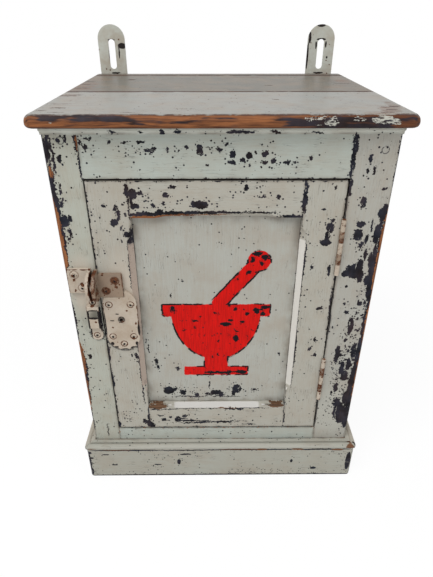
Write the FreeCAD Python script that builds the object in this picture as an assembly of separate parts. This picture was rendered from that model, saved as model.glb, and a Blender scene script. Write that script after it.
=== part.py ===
import FreeCAD
import Part
import math
import os

# Wall medicine cabinet in painted softwood: boarded case with a face frame, panelled door on
# butt hinges, padlock ears, rim latch with a bridge keeper, and two hanging plates.
# Millimetres. While it is built, the face of the frame is y = 0, the floor is z = 0 and the
# middle of the width is x = 0. Front is -Y. Each solid is moved to the origin when saved.

V = FreeCAD.Vector

# Case
BODY_W = 400.0
BODY_DEPTH = 350.0
CASE_H = 558.0
SIDE_T = 18.0
SIDE_FRONT_W = 165.0
BACK_T = 12.0
BACK_LIP = 9.0
BACK_BOARDS = 4
BOTTOM_T = 16.0
HOUSING = 6.0
TONGUE_T = 4.0
TONGUE_L = 6.0
TONGUE_END = 0.5
VEE = 1.2

# Face frame
FRAME_T = 20.0
LATCH_STILE_W = 39.5
HINGE_STILE_W = 51.5
OPENING_BOTTOM = 97.5
TOP_RAIL_W = 59.0
BOTTOM_RAIL_W = 60.0
TENON_T = 7.0
TENON_L = 24.0
TENON_CLEAR = 0.5
MORTISE_END = 1.0
STILE_ROUND = 3.5

# Top and the moulding under it
TOP_T = 14.5
TOP_SIDE_OVER = 12.0
TOP_FRONT_OVER = 18.0
TOP_CORNER_R = 12.0
NOSE_TOP_R = 9.0
NOSE_FLAT = 1.0
TOP_FRONT_PLANK_W = 162.0
TOP_STRIP_W = 26.0
TOP_SEAM = 0.8
BED_D = 5.0
BED_H = 9.0
BED_FILLET = 4.0
BED_FOOT = 1.0

# Plinth
PLINTH_T = 13.6
PLINTH_H = 73.0
PLINTH_BEAD_R = 4.5
PLINTH_BEAD_PROUD = 1.8
PLINTH_BEAD_DROP = 0.5
PLINTH_BEAD_TURN = 150.0
PLINTH_CORNER_R = 5.0
PLINTH_FOOT_R = 2.5

# Shelves and the door stop
SHELF_T = 12.0
LOWER_CLEAR = 145.0
MIDDLE_CLEAR = 136.0
SHELF_SETBACK = 40.0
SHELF_PLAY = 0.5
BEARER = 15.0
BEARER_INSET = 10.0
STOP_W = 24.0
STOP_T = 12.0
STOP_LAP = 8.5
STOP_BEVEL = 4.0

# Door
DOOR_SINK = 0.5
DOOR_GAP_LATCH = 1.3
DOOR_GAP_TOP = 2.5
DOOR_GAP_BOTTOM = 2.0
DOOR_STILE_W = 49.0
DOOR_TOP_RAIL_W = 45.5
DOOR_BOTTOM_RAIL_W = 47.0
PANEL_T = 7.0
PANEL_RECESS = 8.5
PANEL_FIT = 0.1
PANEL_PLAY = 1.0
GROOVE_D = 9.0
CHAMFER_W = 6.5
CHAMFER_TONGUE = 14.0
CHAMFER_NICK = 0.7
CHAMFER_STOP_RAIL = 30.0
CHAMFER_STOP_TOP = 10.0
CHAMFER_STOP_BOTTOM = 29.0

# Butt hinges
HINGE_GAP = 2.0
HINGE_L = 76.0
HINGE_TOP_INSET = 47.5
HINGE_BOTTOM_INSET = 60.0
LEAF_T = 2.0
LEAF_REACH = 17.0
AXIS_OUT = 2.0
KNUCKLES = 5
KNUCKLE_GAP = 0.3
KNUCKLE_RELIEF = 0.4
PIN_R = 1.5
PIN_FIT = 0.05
PIN_HEAD_R = 2.4
PIN_HEAD_H = 1.2
RECESS_FIT = 0.2
HINGE_SCREWS = 3
HINGE_SCREW_STAGGER = 3.0

# Padlock ears
EAR_T = 4.5
EAR_CORNER_R = 2.0
EAR_FRAME_W = 31.0
EAR_FRAME_H = 34.5
EAR_FRAME_RISE = 4.5
EAR_DOOR_W = 31.5
EAR_DOOR_H = 34.0
EAR_DOOR_DROP = 2.2
EAR_SCREW_INSET = 9.5
LUG_T = 4.0
LUG_REACH = 28.0
LUG_HALF_H = 20.0
LUG_ROUND_R = 19.0
LUG_LAP = 3.5
LUG_GAP = 3.5
LUG_FACE_GAP = 0.5
EYE_R = 5.5
EYE_OUT = 14.0
EYE_RISE = 262.2

# Rim latch
LATCH_RISE = 207.6
LATCH_CASE_W = 45.5
LATCH_CASE_INSET = 2.0
LATCH_CASE_DEPTH = 4.4
LATCH_WALL = 1.2
LATCH_EDGE_R = 0.8
LATCH_HEAD = 23.0
LATCH_FOOT = 28.0
LATCH_EAR_GAP = 0.5
LATCH_SCREW_SIDE = 14.3
LATCH_SCREW_HEAD = 23.5
LATCH_SCREW_TOE = 40.5
BOLT_H = 9.0
BOLT_T = 2.4
BOLT_RISE = 10.0
BOLT_PLAY = 0.4
BOLT_NOSE_R = 1.5
LEVER_R = 14.0
LEVER_SWING = 60.0
LEVER_HEAD_R = 2.2
LEVER_NECK_W = 2.2
LEVER_PLAY = 0.4
NOTCH_MOUTH = 1.5
HUB_R = 5.5
HUB_BOSS_R = 4.5
HUB_PROUD = 1.4
HUB_JOURNAL_R = 4.0
HUB_JOURNAL_L = 4.0
HUB_FIT = 0.06
SPINDLE_SQUARE = 4.0

# Bridge keeper
KEEPER_W = 16.0
KEEPER_INSET = 2.2
KEEPER_T = 2.0
KEEPER_RISE = 8.0
KEEPER_HEAD_GAP = 1.2
KEEPER_MOUTH_H = 31.4
KEEPER_FOOT_TAB = 22.0
KEEPER_HEAD_TAB = 12.0
KEEPER_BEND_R = 1.4
WINDOW_W = 11.6
WINDOW_H = 11.0

# Hanging plates
HANGER_T = 3.2
HANGER_W = 44.0
HANGER_INSET = 26.0
HANGER_SHIFT = 4.0
HANGER_ABOVE = 74.0
HANGER_BELOW = 76.0
HANGER_FOOT_R = 6.0
HANGER_SCREWS = 3
HANGER_SCREW_END = 14.0
SLOT_W = 11.0
SLOT_L = 45.0
SLOT_TOP_WALL = 21.5

# Wood screws
SCREW_L = 14.0
SCREW_TIP = 3.0
SHANK_R = 1.6
PILOT_FIT = 0.15
FLAT_HEAD_R = 3.0
FLAT_HEAD_H = 1.4
EAR_SCREW_R = 4.8
LATCH_SCREW_R = 3.9
KEEPER_SCREW_R = 3.6
DOME_H = 1.5

# Places that follow from the sizes above
HALF_W = BODY_W / 2
INSIDE_X = HALF_W - SIDE_T
BACK_Y = BODY_DEPTH - BACK_T
BACK_EDGE_X = HALF_W - BACK_LIP
TOP_Z = CASE_H + TOP_T
NOSE_BOTTOM_R = TOP_T - NOSE_TOP_R - NOSE_FLAT
TENON_SHOULDER = GROOVE_D + TENON_CLEAR
OPENING_TOP = CASE_H - TOP_RAIL_W
PLINTH_REACH = PLINTH_T + PLINTH_BEAD_PROUD
BEAD_MID_OUT = PLINTH_REACH - PLINTH_BEAD_R
BEAD_MID_Z = PLINTH_H - PLINTH_BEAD_DROP - PLINTH_BEAD_R
LOWER_SHELF_Z = OPENING_BOTTOM + LOWER_CLEAR
UPPER_SHELF_Z = LOWER_SHELF_Z + SHELF_T + MIDDLE_CLEAR
DOOR_T = FRAME_T - DOOR_SINK
OPENING_LEFT = -HALF_W + LATCH_STILE_W
OPENING_RIGHT = HALF_W - HINGE_STILE_W
DOOR_LEFT = OPENING_LEFT + DOOR_GAP_LATCH
DOOR_RIGHT = OPENING_RIGHT - HINGE_GAP
DOOR_BOTTOM = OPENING_BOTTOM + DOOR_GAP_BOTTOM
DOOR_TOP = OPENING_TOP - DOOR_GAP_TOP
PANEL_LEFT = DOOR_LEFT + DOOR_STILE_W
PANEL_RIGHT = DOOR_RIGHT - DOOR_STILE_W
PANEL_BOTTOM = DOOR_BOTTOM + DOOR_BOTTOM_RAIL_W
PANEL_TOP = DOOR_TOP - DOOR_TOP_RAIL_W
HINGE_X = OPENING_RIGHT - HINGE_GAP / 2
KNUCKLE_R = HINGE_GAP / 2 + LEAF_T
HINGE_FEET = {
    "upper": DOOR_TOP - HINGE_TOP_INSET - HINGE_L,
    "lower": DOOR_BOTTOM + HINGE_BOTTOM_INSET,
}
EYE_Z = DOOR_BOTTOM + EYE_RISE
LATCH_Z = DOOR_BOTTOM + LATCH_RISE
LUG_DOOR_X = DOOR_LEFT - LUG_LAP
LUG_FRAME_X = LUG_DOOR_X - LUG_GAP - LUG_T
EAR_FRAME_LEFT = LUG_FRAME_X + LUG_T - EAR_FRAME_W
EAR_FRAME_Z = EYE_Z + EAR_FRAME_RISE
EAR_DOOR_Z = EYE_Z - EAR_DOOR_DROP
EAR_DOOR_FOOT = EAR_DOOR_Z - EAR_DOOR_H / 2
LATCH_X = DOOR_LEFT + LATCH_CASE_INSET + LATCH_CASE_W / 2
LATCH_R = LATCH_CASE_W / 2
BOLT_FOOT = LATCH_Z + BOLT_RISE
BOLT_HEAD = BOLT_FOOT + BOLT_H
BOLT_BACK = -(LATCH_CASE_DEPTH - LATCH_WALL - BOLT_T) / 2
BOLT_THROW = 2 * LEVER_R * math.sin(math.radians(LEVER_SWING / 2))
KEEPER_RIGHT = OPENING_LEFT - KEEPER_INSET
KEEPER_MID = KEEPER_RIGHT - KEEPER_W / 2
MOUTH_TOP = BOLT_HEAD + KEEPER_HEAD_GAP
MOUTH_FOOT = MOUTH_TOP - KEEPER_MOUTH_H
FRONT_REACH = max(LUG_REACH, TOP_FRONT_OVER, PLINTH_REACH)
ORIGIN_Y = (BODY_DEPTH + HANGER_T - FRONT_REACH) / 2

BACKWARDS = V(0, 1, 0)
FORWARDS = V(0, -1, 0)
UP = V(0, 0, 1)


def box(x0, x1, y0, y1, z0, z1):
    """A block between two corners, given in any order."""
    low = V(min(x0, x1), min(y0, y1), min(z0, z1))
    return Part.makeBox(abs(x1 - x0), abs(y1 - y0), abs(z1 - z0), low)


def prism(points, vector):
    """A closed polygon pushed along a vector."""
    return Part.Face(Part.makePolygon(points + points[:1])).extrude(vector)


def profile(edges, vector):
    """A closed outline of lines and arcs pushed along a vector."""
    return Part.Face(Part.Wire(edges)).extrude(vector)


def arc(start, middle, end):
    return Part.Arc(start, middle, end).toShape()


def chain(points):
    """Straight edges from point to point."""
    return [Part.makeLine(a, b) for a, b in zip(points, points[1:])]


def whole(shape):
    """One solid with the seams left by joining taken out."""
    clean = shape.removeSplitter()
    return clean.Solids[0] if len(clean.Solids) == 1 else clean


def save(node, *solids):
    """Write one piece, or one group of like pieces, at the origin."""
    shape = solids[0] if len(solids) == 1 else Part.makeCompound(list(solids))
    shape = shape.copy()
    shape.translate(V(0, -ORIGIN_Y, 0))
    if not shape.isValid():
        raise ValueError("invalid solid: " + node)
    shape.exportStep("parts/" + node + ".step")
    print(node, len(shape.Solids), round(shape.Volume))


# Screws

def aim(shape, point, direction):
    """Put a shape made along +Z at a point, pointing along a direction."""
    shape.Placement = FreeCAD.Placement(point, FreeCAD.Rotation(UP, direction))
    return shape


def round_head_screw(point, direction, head_r):
    """A screw whose domed head sits on the surface at the point."""
    rise = head_r / math.sqrt(2)
    ball = (head_r ** 2 + DOME_H ** 2) / (2 * DOME_H)
    lift = math.sqrt(ball ** 2 - rise ** 2) - (ball - DOME_H)
    outline = [arc(V(0, 0, -DOME_H), V(rise, 0, -lift), V(head_r, 0, 0))]
    outline += chain([
        V(head_r, 0, 0), V(SHANK_R, 0, 0), V(SHANK_R, 0, SCREW_L - SCREW_TIP),
        V(0, 0, SCREW_L), V(0, 0, -DOME_H),
    ])
    return aim(Part.Face(Part.Wire(outline)).revolve(V(), UP, 360), point, direction)


def flat_head_screw(point, direction):
    """A screw whose head is sunk flush with the surface at the point."""
    outline = chain([
        V(), V(FLAT_HEAD_R, 0, 0), V(SHANK_R, 0, FLAT_HEAD_H), V(SHANK_R, 0, SCREW_L - SCREW_TIP),
        V(0, 0, SCREW_L), V(),
    ])
    return aim(Part.Face(Part.Wire(outline)).revolve(V(), UP, 360), point, direction)


def pilot_hole(point, direction):
    return aim(Part.makeCylinder(SHANK_R + PILOT_FIT, SCREW_L + PILOT_FIT), point, direction)


def sunk_hole(point, direction):
    """A pilot hole with the countersink of a flush head."""
    grow = PILOT_FIT * (FLAT_HEAD_R - SHANK_R) / FLAT_HEAD_H + PILOT_FIT
    cone = Part.makeCone(FLAT_HEAD_R + grow, SHANK_R + grow, FLAT_HEAD_H)
    return pilot_hole(point, direction).fuse(aim(cone, point, direction))


def drilled(shape, points, direction, hole=pilot_hole):
    """The shape with a hole at each point."""
    for point in points:
        shape = shape.cut(hole(point, direction))
    return shape


# Case boards

def vee_groove(x, y, out, z0, z1):
    """A shallow V along Z where two boards meet; out points away from the boards."""
    along = V(-out.y, out.x, 0)
    middle = V(x, y, z0)
    return prism([middle - along * VEE, middle - out * VEE, middle + along * VEE],
                 V(0, 0, z1 - z0))


def side_board(side, rear):
    """Front or rear board of one side, tongued together and grooved for the bottom board."""
    outer = side * HALF_W
    inner = side * INSIDE_X
    seam = FRAME_T + SIDE_FRONT_W
    middle = side * (HALF_W - SIDE_T / 2)
    tongue_x = (middle - TONGUE_T / 2, middle + TONGUE_T / 2)
    if rear:
        board = box(outer, inner, seam, BODY_DEPTH, 0, CASE_H)
        board = board.cut(box(*tongue_x, seam, seam + TONGUE_L + TONGUE_END, 0, CASE_H))
        board = board.cut(box(side * BACK_EDGE_X, inner, BACK_Y, BODY_DEPTH, 0, CASE_H))
    else:
        board = box(outer, inner, FRAME_T, seam, 0, CASE_H)
        board = board.fuse(box(*tongue_x, seam, seam + TONGUE_L, 0, CASE_H))
    board = board.cut(vee_groove(outer, seam, V(side, 0, 0), 0, CASE_H))
    housing = box(inner, inner + side * HOUSING, FRAME_T, BACK_Y,
                  OPENING_BOTTOM - BOTTOM_T, OPENING_BOTTOM)
    return whole(board.cut(housing))


def bottom_board():
    reach = INSIDE_X + HOUSING
    return box(-reach, reach, FRAME_T, BACK_Y, OPENING_BOTTOM - BOTTOM_T, OPENING_BOTTOM)


def hanger_x(side):
    """Middle of a hanging plate: the pair was fixed a little left of the cabinet's middle."""
    return side * (HALF_W - HANGER_INSET) - HANGER_SHIFT


def hanger_screw_points(side):
    """Screw places on the back of one hanging plate, from the top one down."""
    room = HANGER_BELOW - 2 * HANGER_SCREW_END
    step = room / (HANGER_SCREWS - 1)
    tops = [CASE_H - HANGER_SCREW_END - step * i for i in range(HANGER_SCREWS)]
    return [V(hanger_x(side), BODY_DEPTH + HANGER_T, z) for z in tops]


def back_board(number):
    """One matched board of the back, with a tongue on its right edge."""
    width = 2 * BACK_EDGE_X / BACK_BOARDS
    left = -BACK_EDGE_X + number * width
    right = left + width
    middle = BODY_DEPTH - BACK_T / 2
    tongue_y = (middle - TONGUE_T / 2, middle + TONGUE_T / 2)
    board = box(left, right, BACK_Y, BODY_DEPTH, 0, CASE_H)
    if number > 0:
        board = board.cut(box(left, left + TONGUE_L + TONGUE_END, *tongue_y, 0, CASE_H))
        board = board.cut(vee_groove(left, BODY_DEPTH, BACKWARDS, 0, CASE_H))
        board = board.cut(vee_groove(left, BACK_Y, FORWARDS, 0, CASE_H))
    if number < BACK_BOARDS - 1:
        board = board.cut(vee_groove(right, BODY_DEPTH, BACKWARDS, 0, CASE_H))
        board = board.cut(vee_groove(right, BACK_Y, FORWARDS, 0, CASE_H))
        board = board.fuse(box(right, right + TONGUE_L, *tongue_y, 0, CASE_H))
    for side in (-1, 1):
        board = drilled(board, hanger_screw_points(side), FORWARDS)
    return whole(board)


def shelf(foot):
    reach = INSIDE_X - SHELF_PLAY
    return box(-reach, reach, SHELF_SETBACK, BACK_Y, foot, foot + SHELF_T)


def shelf_bearer(side, shelf_foot):
    """A strip under one end of a shelf, its front end cut back on the slant."""
    front = SHELF_SETBACK + BEARER_INSET
    low = shelf_foot - BEARER
    outline = [V(side * INSIDE_X, front, shelf_foot), V(side * INSIDE_X, BACK_Y, shelf_foot),
               V(side * INSIDE_X, BACK_Y, low), V(side * INSIDE_X, front + BEARER, low)]
    return prism(outline, V(-side * BEARER, 0, 0))


def door_stop():
    """Strip behind the latch stile, lapping the opening so that the door closes on it."""
    right = OPENING_LEFT + STOP_LAP
    strip = box(right - STOP_W, right, FRAME_T, FRAME_T + STOP_T, OPENING_BOTTOM, OPENING_TOP)
    corner = [e for e in strip.Edges
              if e.BoundBox.XMin > right - VEE and e.BoundBox.YMin > FRAME_T + STOP_T - VEE]
    return strip.makeChamfer(STOP_BEVEL, corner)


# Face frame

def frame_rail_heights(rail):
    """Lowest and highest point of a rail of the face frame."""
    if rail == "top":
        return OPENING_TOP, CASE_H
    return OPENING_BOTTOM - BOTTOM_RAIL_W, OPENING_BOTTOM


def tenon(x0, x1, thickness, z0, z1):
    """A tenon, or with more reach its mortise, in the middle of a frame's thickness."""
    middle = thickness / 2
    return box(x0, x1, middle - TENON_T / 2, middle + TENON_T / 2,
               z0 + TENON_SHOULDER, z1 - TENON_SHOULDER)


def face_rail(rail):
    low, high = frame_rail_heights(rail)
    board = box(OPENING_LEFT, OPENING_RIGHT, 0, FRAME_T, low, high)
    reach = tenon(OPENING_LEFT - TENON_L, OPENING_RIGHT + TENON_L, FRAME_T, low, high)
    return whole(board.fuse(reach))


def face_stile(side):
    """A stile of the face frame: outer arris worn round, mortises for both rails."""
    edge = OPENING_LEFT if side < 0 else OPENING_RIGHT
    board = box(side * HALF_W, edge, 0, FRAME_T, 0, CASE_H)
    arris = [e for e in board.Edges if e.BoundBox.ZLength > CASE_H / 2
             and e.BoundBox.YMax < FRAME_T / 2 and side * e.BoundBox.Center.x > HALF_W - STILE_ROUND]
    board = board.makeFillet(STILE_ROUND, arris)
    for rail in ("top", "bottom"):
        low, high = frame_rail_heights(rail)
        deep = edge + side * (TENON_L + MORTISE_END)
        board = board.cut(tenon(edge, deep, FRAME_T, low, high))
    return board


def latch_stile():
    """The left stile, drilled for the frame's padlock ear and the keeper."""
    board = drilled(face_stile(-1), ear_frame_screw_points(), BACKWARDS)
    return whole(drilled(board, keeper_screw_points(), BACKWARDS))


def hinge_stile():
    """The right stile, recessed and drilled for the hinges' frame leaves."""
    board = face_stile(1)
    for foot in HINGE_FEET.values():
        board = board.cut(leaf_recess(1, foot))
        board = drilled(board, leaf_screw_points(1, foot), V(1, 0, 0))
    return whole(board)


# Top

def top_blank():
    """The whole top before it is sawn into planks, nosed at the front and both ends."""
    reach = HALF_W + TOP_SIDE_OVER
    slab = box(-reach, reach, -TOP_FRONT_OVER, BODY_DEPTH, CASE_H, TOP_Z)
    upright = [e for e in slab.Edges
               if e.BoundBox.ZLength > TOP_T / 2 and e.BoundBox.YMax < 0]
    slab = slab.makeFillet(TOP_CORNER_R, upright)
    for level, radius in ((TOP_Z, NOSE_TOP_R), (CASE_H, NOSE_BOTTOM_R)):
        rim = [e for e in slab.Edges
               if abs(e.BoundBox.ZMin - level) < VEE / 2 and e.BoundBox.ZLength < VEE / 2
               and e.BoundBox.YMin < BODY_DEPTH - VEE]
        slab = slab.makeFillet(radius, rim)
    return slab


def top_plank(front, back):
    """The stretch of the top between two seams, with its upper seam edges eased."""
    reach = HALF_W + TOP_SIDE_OVER
    plank = top_blank().common(box(-reach, reach, front, back, CASE_H, TOP_Z))
    for y in (front, back):
        if -TOP_FRONT_OVER < y < BODY_DEPTH:
            groove = [V(-reach, y - VEE, TOP_Z), V(-reach, y, TOP_Z - VEE), V(-reach, y + VEE, TOP_Z)]
            plank = plank.cut(prism(groove, V(2 * reach, 0, 0)))
    return whole(plank)


def bed_moulding():
    """A fillet over a cove, across the face under the nose of the top."""
    x = -HALF_W
    lip = V(x, -BED_D, CASE_H - BED_FILLET)
    toe = V(x, -BED_FOOT, CASE_H - BED_H)
    bulge = math.sqrt(0.5)
    hollow = V(x, lip.y + (toe.y - lip.y) * bulge, toe.z + (lip.z - toe.z) * bulge)
    outline = [arc(lip, hollow, toe)]
    outline += chain([toe, V(x, 0, toe.z), V(x, 0, CASE_H), V(x, -BED_D, CASE_H), lip])
    return profile(outline, V(BODY_W, 0, 0))


# Plinth

def bead_angles():
    """Where the bead's round leaves the flat face, and where it ends in the quirk behind it."""
    return -math.acos((PLINTH_T - BEAD_MID_OUT) / PLINTH_BEAD_R), math.radians(PLINTH_BEAD_TURN)


def plinth_length(start, out, along):
    """The moulded board, pushed along from a start point, before its mitres are sawn: a flat
    face, a proud bead, and a ledge behind a quirk."""
    def at(u, z):
        return start + out * u + UP * z

    def bead(angle):
        return at(BEAD_MID_OUT + PLINTH_BEAD_R * math.cos(angle),
                  BEAD_MID_Z + PLINTH_BEAD_R * math.sin(angle))

    low, high = bead_angles()
    ledge = BEAD_MID_OUT + PLINTH_BEAD_R * math.cos(high)
    outline = chain([at(0, 0), at(PLINTH_T, 0), bead(low)])
    outline.append(arc(bead(low), bead((low + high) / 2), bead(high)))
    outline += chain([bead(high), at(ledge, PLINTH_H), at(0, PLINTH_H), at(0, 0)])
    return profile(outline, along)


def plinth_blank():
    """The room that the three boards fill: round upright corners and an eased foot."""
    joint = BEAD_MID_Z + PLINTH_BEAD_R * math.sin(bead_angles()[0])
    blocks = []
    for reach, foot, head in ((PLINTH_T, 0, joint), (PLINTH_REACH, joint, PLINTH_H)):
        block = box(-HALF_W - reach, HALF_W + reach, -reach, BODY_DEPTH, foot, head)
        upright = [e for e in block.Edges if e.BoundBox.YMax < 0 and e.BoundBox.XLength < VEE]
        blocks.append(block.makeFillet(PLINTH_CORNER_R, upright))
    rim = [e for e in blocks[0].Edges
           if e.BoundBox.ZMax < PLINTH_FOOT_R and e.BoundBox.YMin < BODY_DEPTH - VEE]
    return blocks[0].makeFillet(PLINTH_FOOT_R, rim).fuse(blocks[1])


def mitre_wedge(side):
    """The half-space beside a corner's mitre that belongs to the side board."""
    far = 2 * PLINTH_REACH
    corner = V(side * HALF_W, 0, 0)
    points = [corner, corner + V(side * far, -far, 0), corner + V(side * far, BODY_DEPTH + far, 0),
              corner + V(0, BODY_DEPTH + far, 0)]
    return prism(points, V(0, 0, PLINTH_H))


def plinth_front():
    reach = HALF_W + PLINTH_REACH
    board = plinth_length(V(-reach, 0, 0), FORWARDS, V(2 * reach, 0, 0))
    for side in (-1, 1):
        board = board.cut(mitre_wedge(side))
    return whole(board.common(plinth_blank()))


def plinth_side(side):
    start = V(side * HALF_W, -PLINTH_REACH, 0)
    board = plinth_length(start, V(side, 0, 0), V(0, PLINTH_REACH + BODY_DEPTH, 0))
    return whole(board.common(mitre_wedge(side)).common(plinth_blank()))


# Door

def stopped_chamfer(start, along, face_in, edge_in, length):
    """What a stopped chamfer takes off an arris: a flat at 45 degrees that runs out at each end
    in an S curve, the lamb's tongue, behind a small square nick."""
    inward = (face_in + edge_in) * math.sqrt(0.5)
    across = (face_in - edge_in) * math.sqrt(0.5)
    depth = CHAMFER_W * math.sqrt(0.5)
    half_run = CHAMFER_TONGUE / 2
    half_drop = (depth - CHAMFER_NICK) / 2
    radius = (half_run ** 2 + half_drop ** 2) / (2 * half_drop)
    turn = math.asin(half_run / radius)
    origin = start - across * CHAMFER_W

    def at(run, drop):
        return origin + along * run + inward * drop

    def first(angle):
        return radius * math.sin(angle), radius * (1 - math.cos(angle)) + CHAMFER_NICK

    def second(angle):
        run, drop = first(angle)
        return CHAMFER_TONGUE - run, depth + CHAMFER_NICK - drop

    near = [first(0), first(turn / 2), first(turn), second(turn / 2), second(0)]
    far = [(length - run, drop) for run, drop in reversed(near)]
    outline = []
    for curve in (near, far):
        outline.append(arc(at(*curve[0]), at(*curve[1]), at(*curve[2])))
        outline.append(arc(at(*curve[2]), at(*curve[3]), at(*curve[4])))
    outline.insert(2, Part.makeLine(at(*near[4]), at(*far[0])))
    outline += chain([at(*far[4]), at(length, -depth), at(0, -depth), at(*near[0])])
    return profile(outline, across * (2 * CHAMFER_W))


def panel_groove(x0, x1, z0, z1):
    return box(x0, x1, PANEL_RECESS, PANEL_RECESS + PANEL_T + PANEL_FIT, z0, z1)


def door_rail_heights(rail):
    if rail == "top":
        return PANEL_TOP, DOOR_TOP
    return DOOR_BOTTOM, PANEL_BOTTOM


def door_rail(rail):
    """A rail of the door: tenons at both ends, panel groove and chamfer on the inner edge."""
    low, high = door_rail_heights(rail)
    inner = low if rail == "top" else high
    into = 1 if rail == "top" else -1
    board = box(PANEL_LEFT, PANEL_RIGHT, 0, DOOR_T, low, high)
    board = board.fuse(tenon(PANEL_LEFT - TENON_L, PANEL_RIGHT + TENON_L, DOOR_T, low, high))
    board = board.cut(panel_groove(PANEL_LEFT, PANEL_RIGHT, inner, inner + into * GROOVE_D))
    start = V(PANEL_LEFT + CHAMFER_STOP_RAIL, 0, inner)
    length = PANEL_RIGHT - PANEL_LEFT - 2 * CHAMFER_STOP_RAIL
    chamfer = stopped_chamfer(start, V(1, 0, 0), V(0, 0, into), BACKWARDS, length)
    return whole(board.cut(chamfer))


def door_stile(side):
    """A stile of the door: mortises, panel groove and chamfer on the inner edge."""
    outer = DOOR_LEFT if side < 0 else DOOR_RIGHT
    inner = PANEL_LEFT if side < 0 else PANEL_RIGHT
    board = box(outer, inner, 0, DOOR_T, DOOR_BOTTOM, DOOR_TOP)
    for rail in ("top", "bottom"):
        low, high = door_rail_heights(rail)
        deep = inner + side * (TENON_L + MORTISE_END)
        board = board.cut(tenon(inner, deep, DOOR_T, low, high))
    board = board.cut(panel_groove(inner, inner + side * GROOVE_D,
                                   PANEL_BOTTOM - GROOVE_D, PANEL_TOP + GROOVE_D))
    foot = PANEL_BOTTOM + CHAMFER_STOP_BOTTOM
    length = PANEL_TOP - CHAMFER_STOP_TOP - foot
    chamfer = stopped_chamfer(V(inner, 0, foot), UP, V(side, 0, 0), BACKWARDS, length)
    return board.cut(chamfer)


def door_latch_stile():
    """The door's left stile, drilled for the padlock ear, the latch case and the hub."""
    board = drilled(door_stile(-1), ear_door_screw_points(), BACKWARDS)
    board = drilled(board, latch_screw_points(), BACKWARDS)
    journal = Part.makeCylinder(HUB_JOURNAL_R + HUB_FIT, HUB_JOURNAL_L + BOLT_PLAY,
                                V(LATCH_X, 0, LATCH_Z), BACKWARDS)
    return whole(board.cut(journal))


def door_hinge_stile():
    """The door's right stile, recessed and drilled for the hinges' door leaves."""
    board = door_stile(1)
    for foot in HINGE_FEET.values():
        board = board.cut(leaf_recess(-1, foot))
        board = drilled(board, leaf_screw_points(-1, foot), V(-1, 0, 0))
    return whole(board)


def door_panel():
    """The flat panel, loose in its grooves so that the wood can move."""
    lap = GROOVE_D - PANEL_PLAY
    return box(PANEL_LEFT - lap, PANEL_RIGHT + lap, PANEL_RECESS, PANEL_RECESS + PANEL_T,
               PANEL_BOTTOM - lap, PANEL_TOP + lap)


# Hinges

def leaf_recess(side, foot):
    """The recess for a leaf: side is 1 in the frame, -1 in the door."""
    near = HINGE_X + side * HINGE_GAP / 2
    return box(near, near + side * LEAF_T, 0, LEAF_REACH + RECESS_FIT,
               foot - RECESS_FIT, foot + HINGE_L + RECESS_FIT)


def leaf_screw_points(side, foot):
    """Screw places on a leaf's face in the joint, staggered about the leaf's middle."""
    near = HINGE_X + side * HINGE_GAP / 2
    middle = (KNUCKLE_R - AXIS_OUT + KNUCKLE_RELIEF + LEAF_REACH) / 2
    points = []
    for i in range(HINGE_SCREWS):
        stagger = HINGE_SCREW_STAGGER / 2 * (1 if i % 2 else -1)
        points.append(V(near, middle + stagger, foot + HINGE_L * (i + 0.5) / HINGE_SCREWS))
    return points


def knuckle_section(side, foot):
    """Outline of a leaf where it rolls round the pin, at the level of its foot."""
    def at(x, y):
        return V(HINGE_X + side * x, y - AXIS_OUT, foot)

    inner = HINGE_GAP / 2
    meet = math.sqrt(KNUCKLE_R ** 2 - inner ** 2)
    turn = (math.atan2(meet, inner) + 2 * math.pi) / 2
    far_side = at(KNUCKLE_R * math.cos(turn), KNUCKLE_R * math.sin(turn))
    reach = LEAF_REACH + AXIS_OUT
    outline = chain([at(KNUCKLE_R, 0), at(KNUCKLE_R, reach), at(inner, reach), at(inner, meet)])
    outline.append(arc(at(inner, meet), far_side, at(KNUCKLE_R, 0)))
    return outline


def hinge_leaf(side, foot):
    """A leaf and its knuckles: the frame's leaf has the odd ones, the door's the even ones."""
    near = HINGE_X + side * HINGE_GAP / 2
    front = KNUCKLE_R + KNUCKLE_RELIEF - AXIS_OUT
    leaf = box(near, near + side * LEAF_T, front, LEAF_REACH, foot, foot + HINGE_L)
    pitch = HINGE_L / KNUCKLES
    for i in range(KNUCKLES):
        if (i % 2 == 0) == (side > 0):
            low = foot + i * pitch + KNUCKLE_GAP / 2
            leaf = leaf.fuse(profile(knuckle_section(side, low), UP * (pitch - KNUCKLE_GAP)))
    bore = Part.makeCylinder(PIN_R + PIN_FIT, HINGE_L, V(HINGE_X, -AXIS_OUT, foot))
    leaf = leaf.cut(bore)
    return whole(drilled(leaf, leaf_screw_points(side, foot), V(side, 0, 0), sunk_hole))


def hinge_pin(foot):
    """The pin, with a low domed head at each end."""
    def head(z, out):
        side = PIN_HEAD_R * math.sqrt(0.5)
        ball = (PIN_HEAD_R ** 2 + PIN_HEAD_H ** 2) / (2 * PIN_HEAD_H)
        lift = math.sqrt(ball ** 2 - side ** 2) - (ball - PIN_HEAD_H)
        return V(0, 0, z + out * PIN_HEAD_H), V(side, 0, z + out * lift), V(PIN_HEAD_R, 0, z)

    tip, bulge, rim = head(foot, -1)
    outline = [arc(tip, bulge, rim)]
    outline += chain([rim, V(PIN_R, 0, foot), V(PIN_R, 0, foot + HINGE_L),
                      V(PIN_HEAD_R, 0, foot + HINGE_L)])
    top_tip, top_bulge, top_rim = head(foot + HINGE_L, 1)
    outline.append(arc(top_rim, top_bulge, top_tip))
    outline += chain([top_tip, tip])
    pin = Part.Face(Part.Wire(outline)).revolve(V(), UP, 360)
    pin.translate(V(HINGE_X, -AXIS_OUT, 0))
    return pin


# Padlock ears

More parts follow.
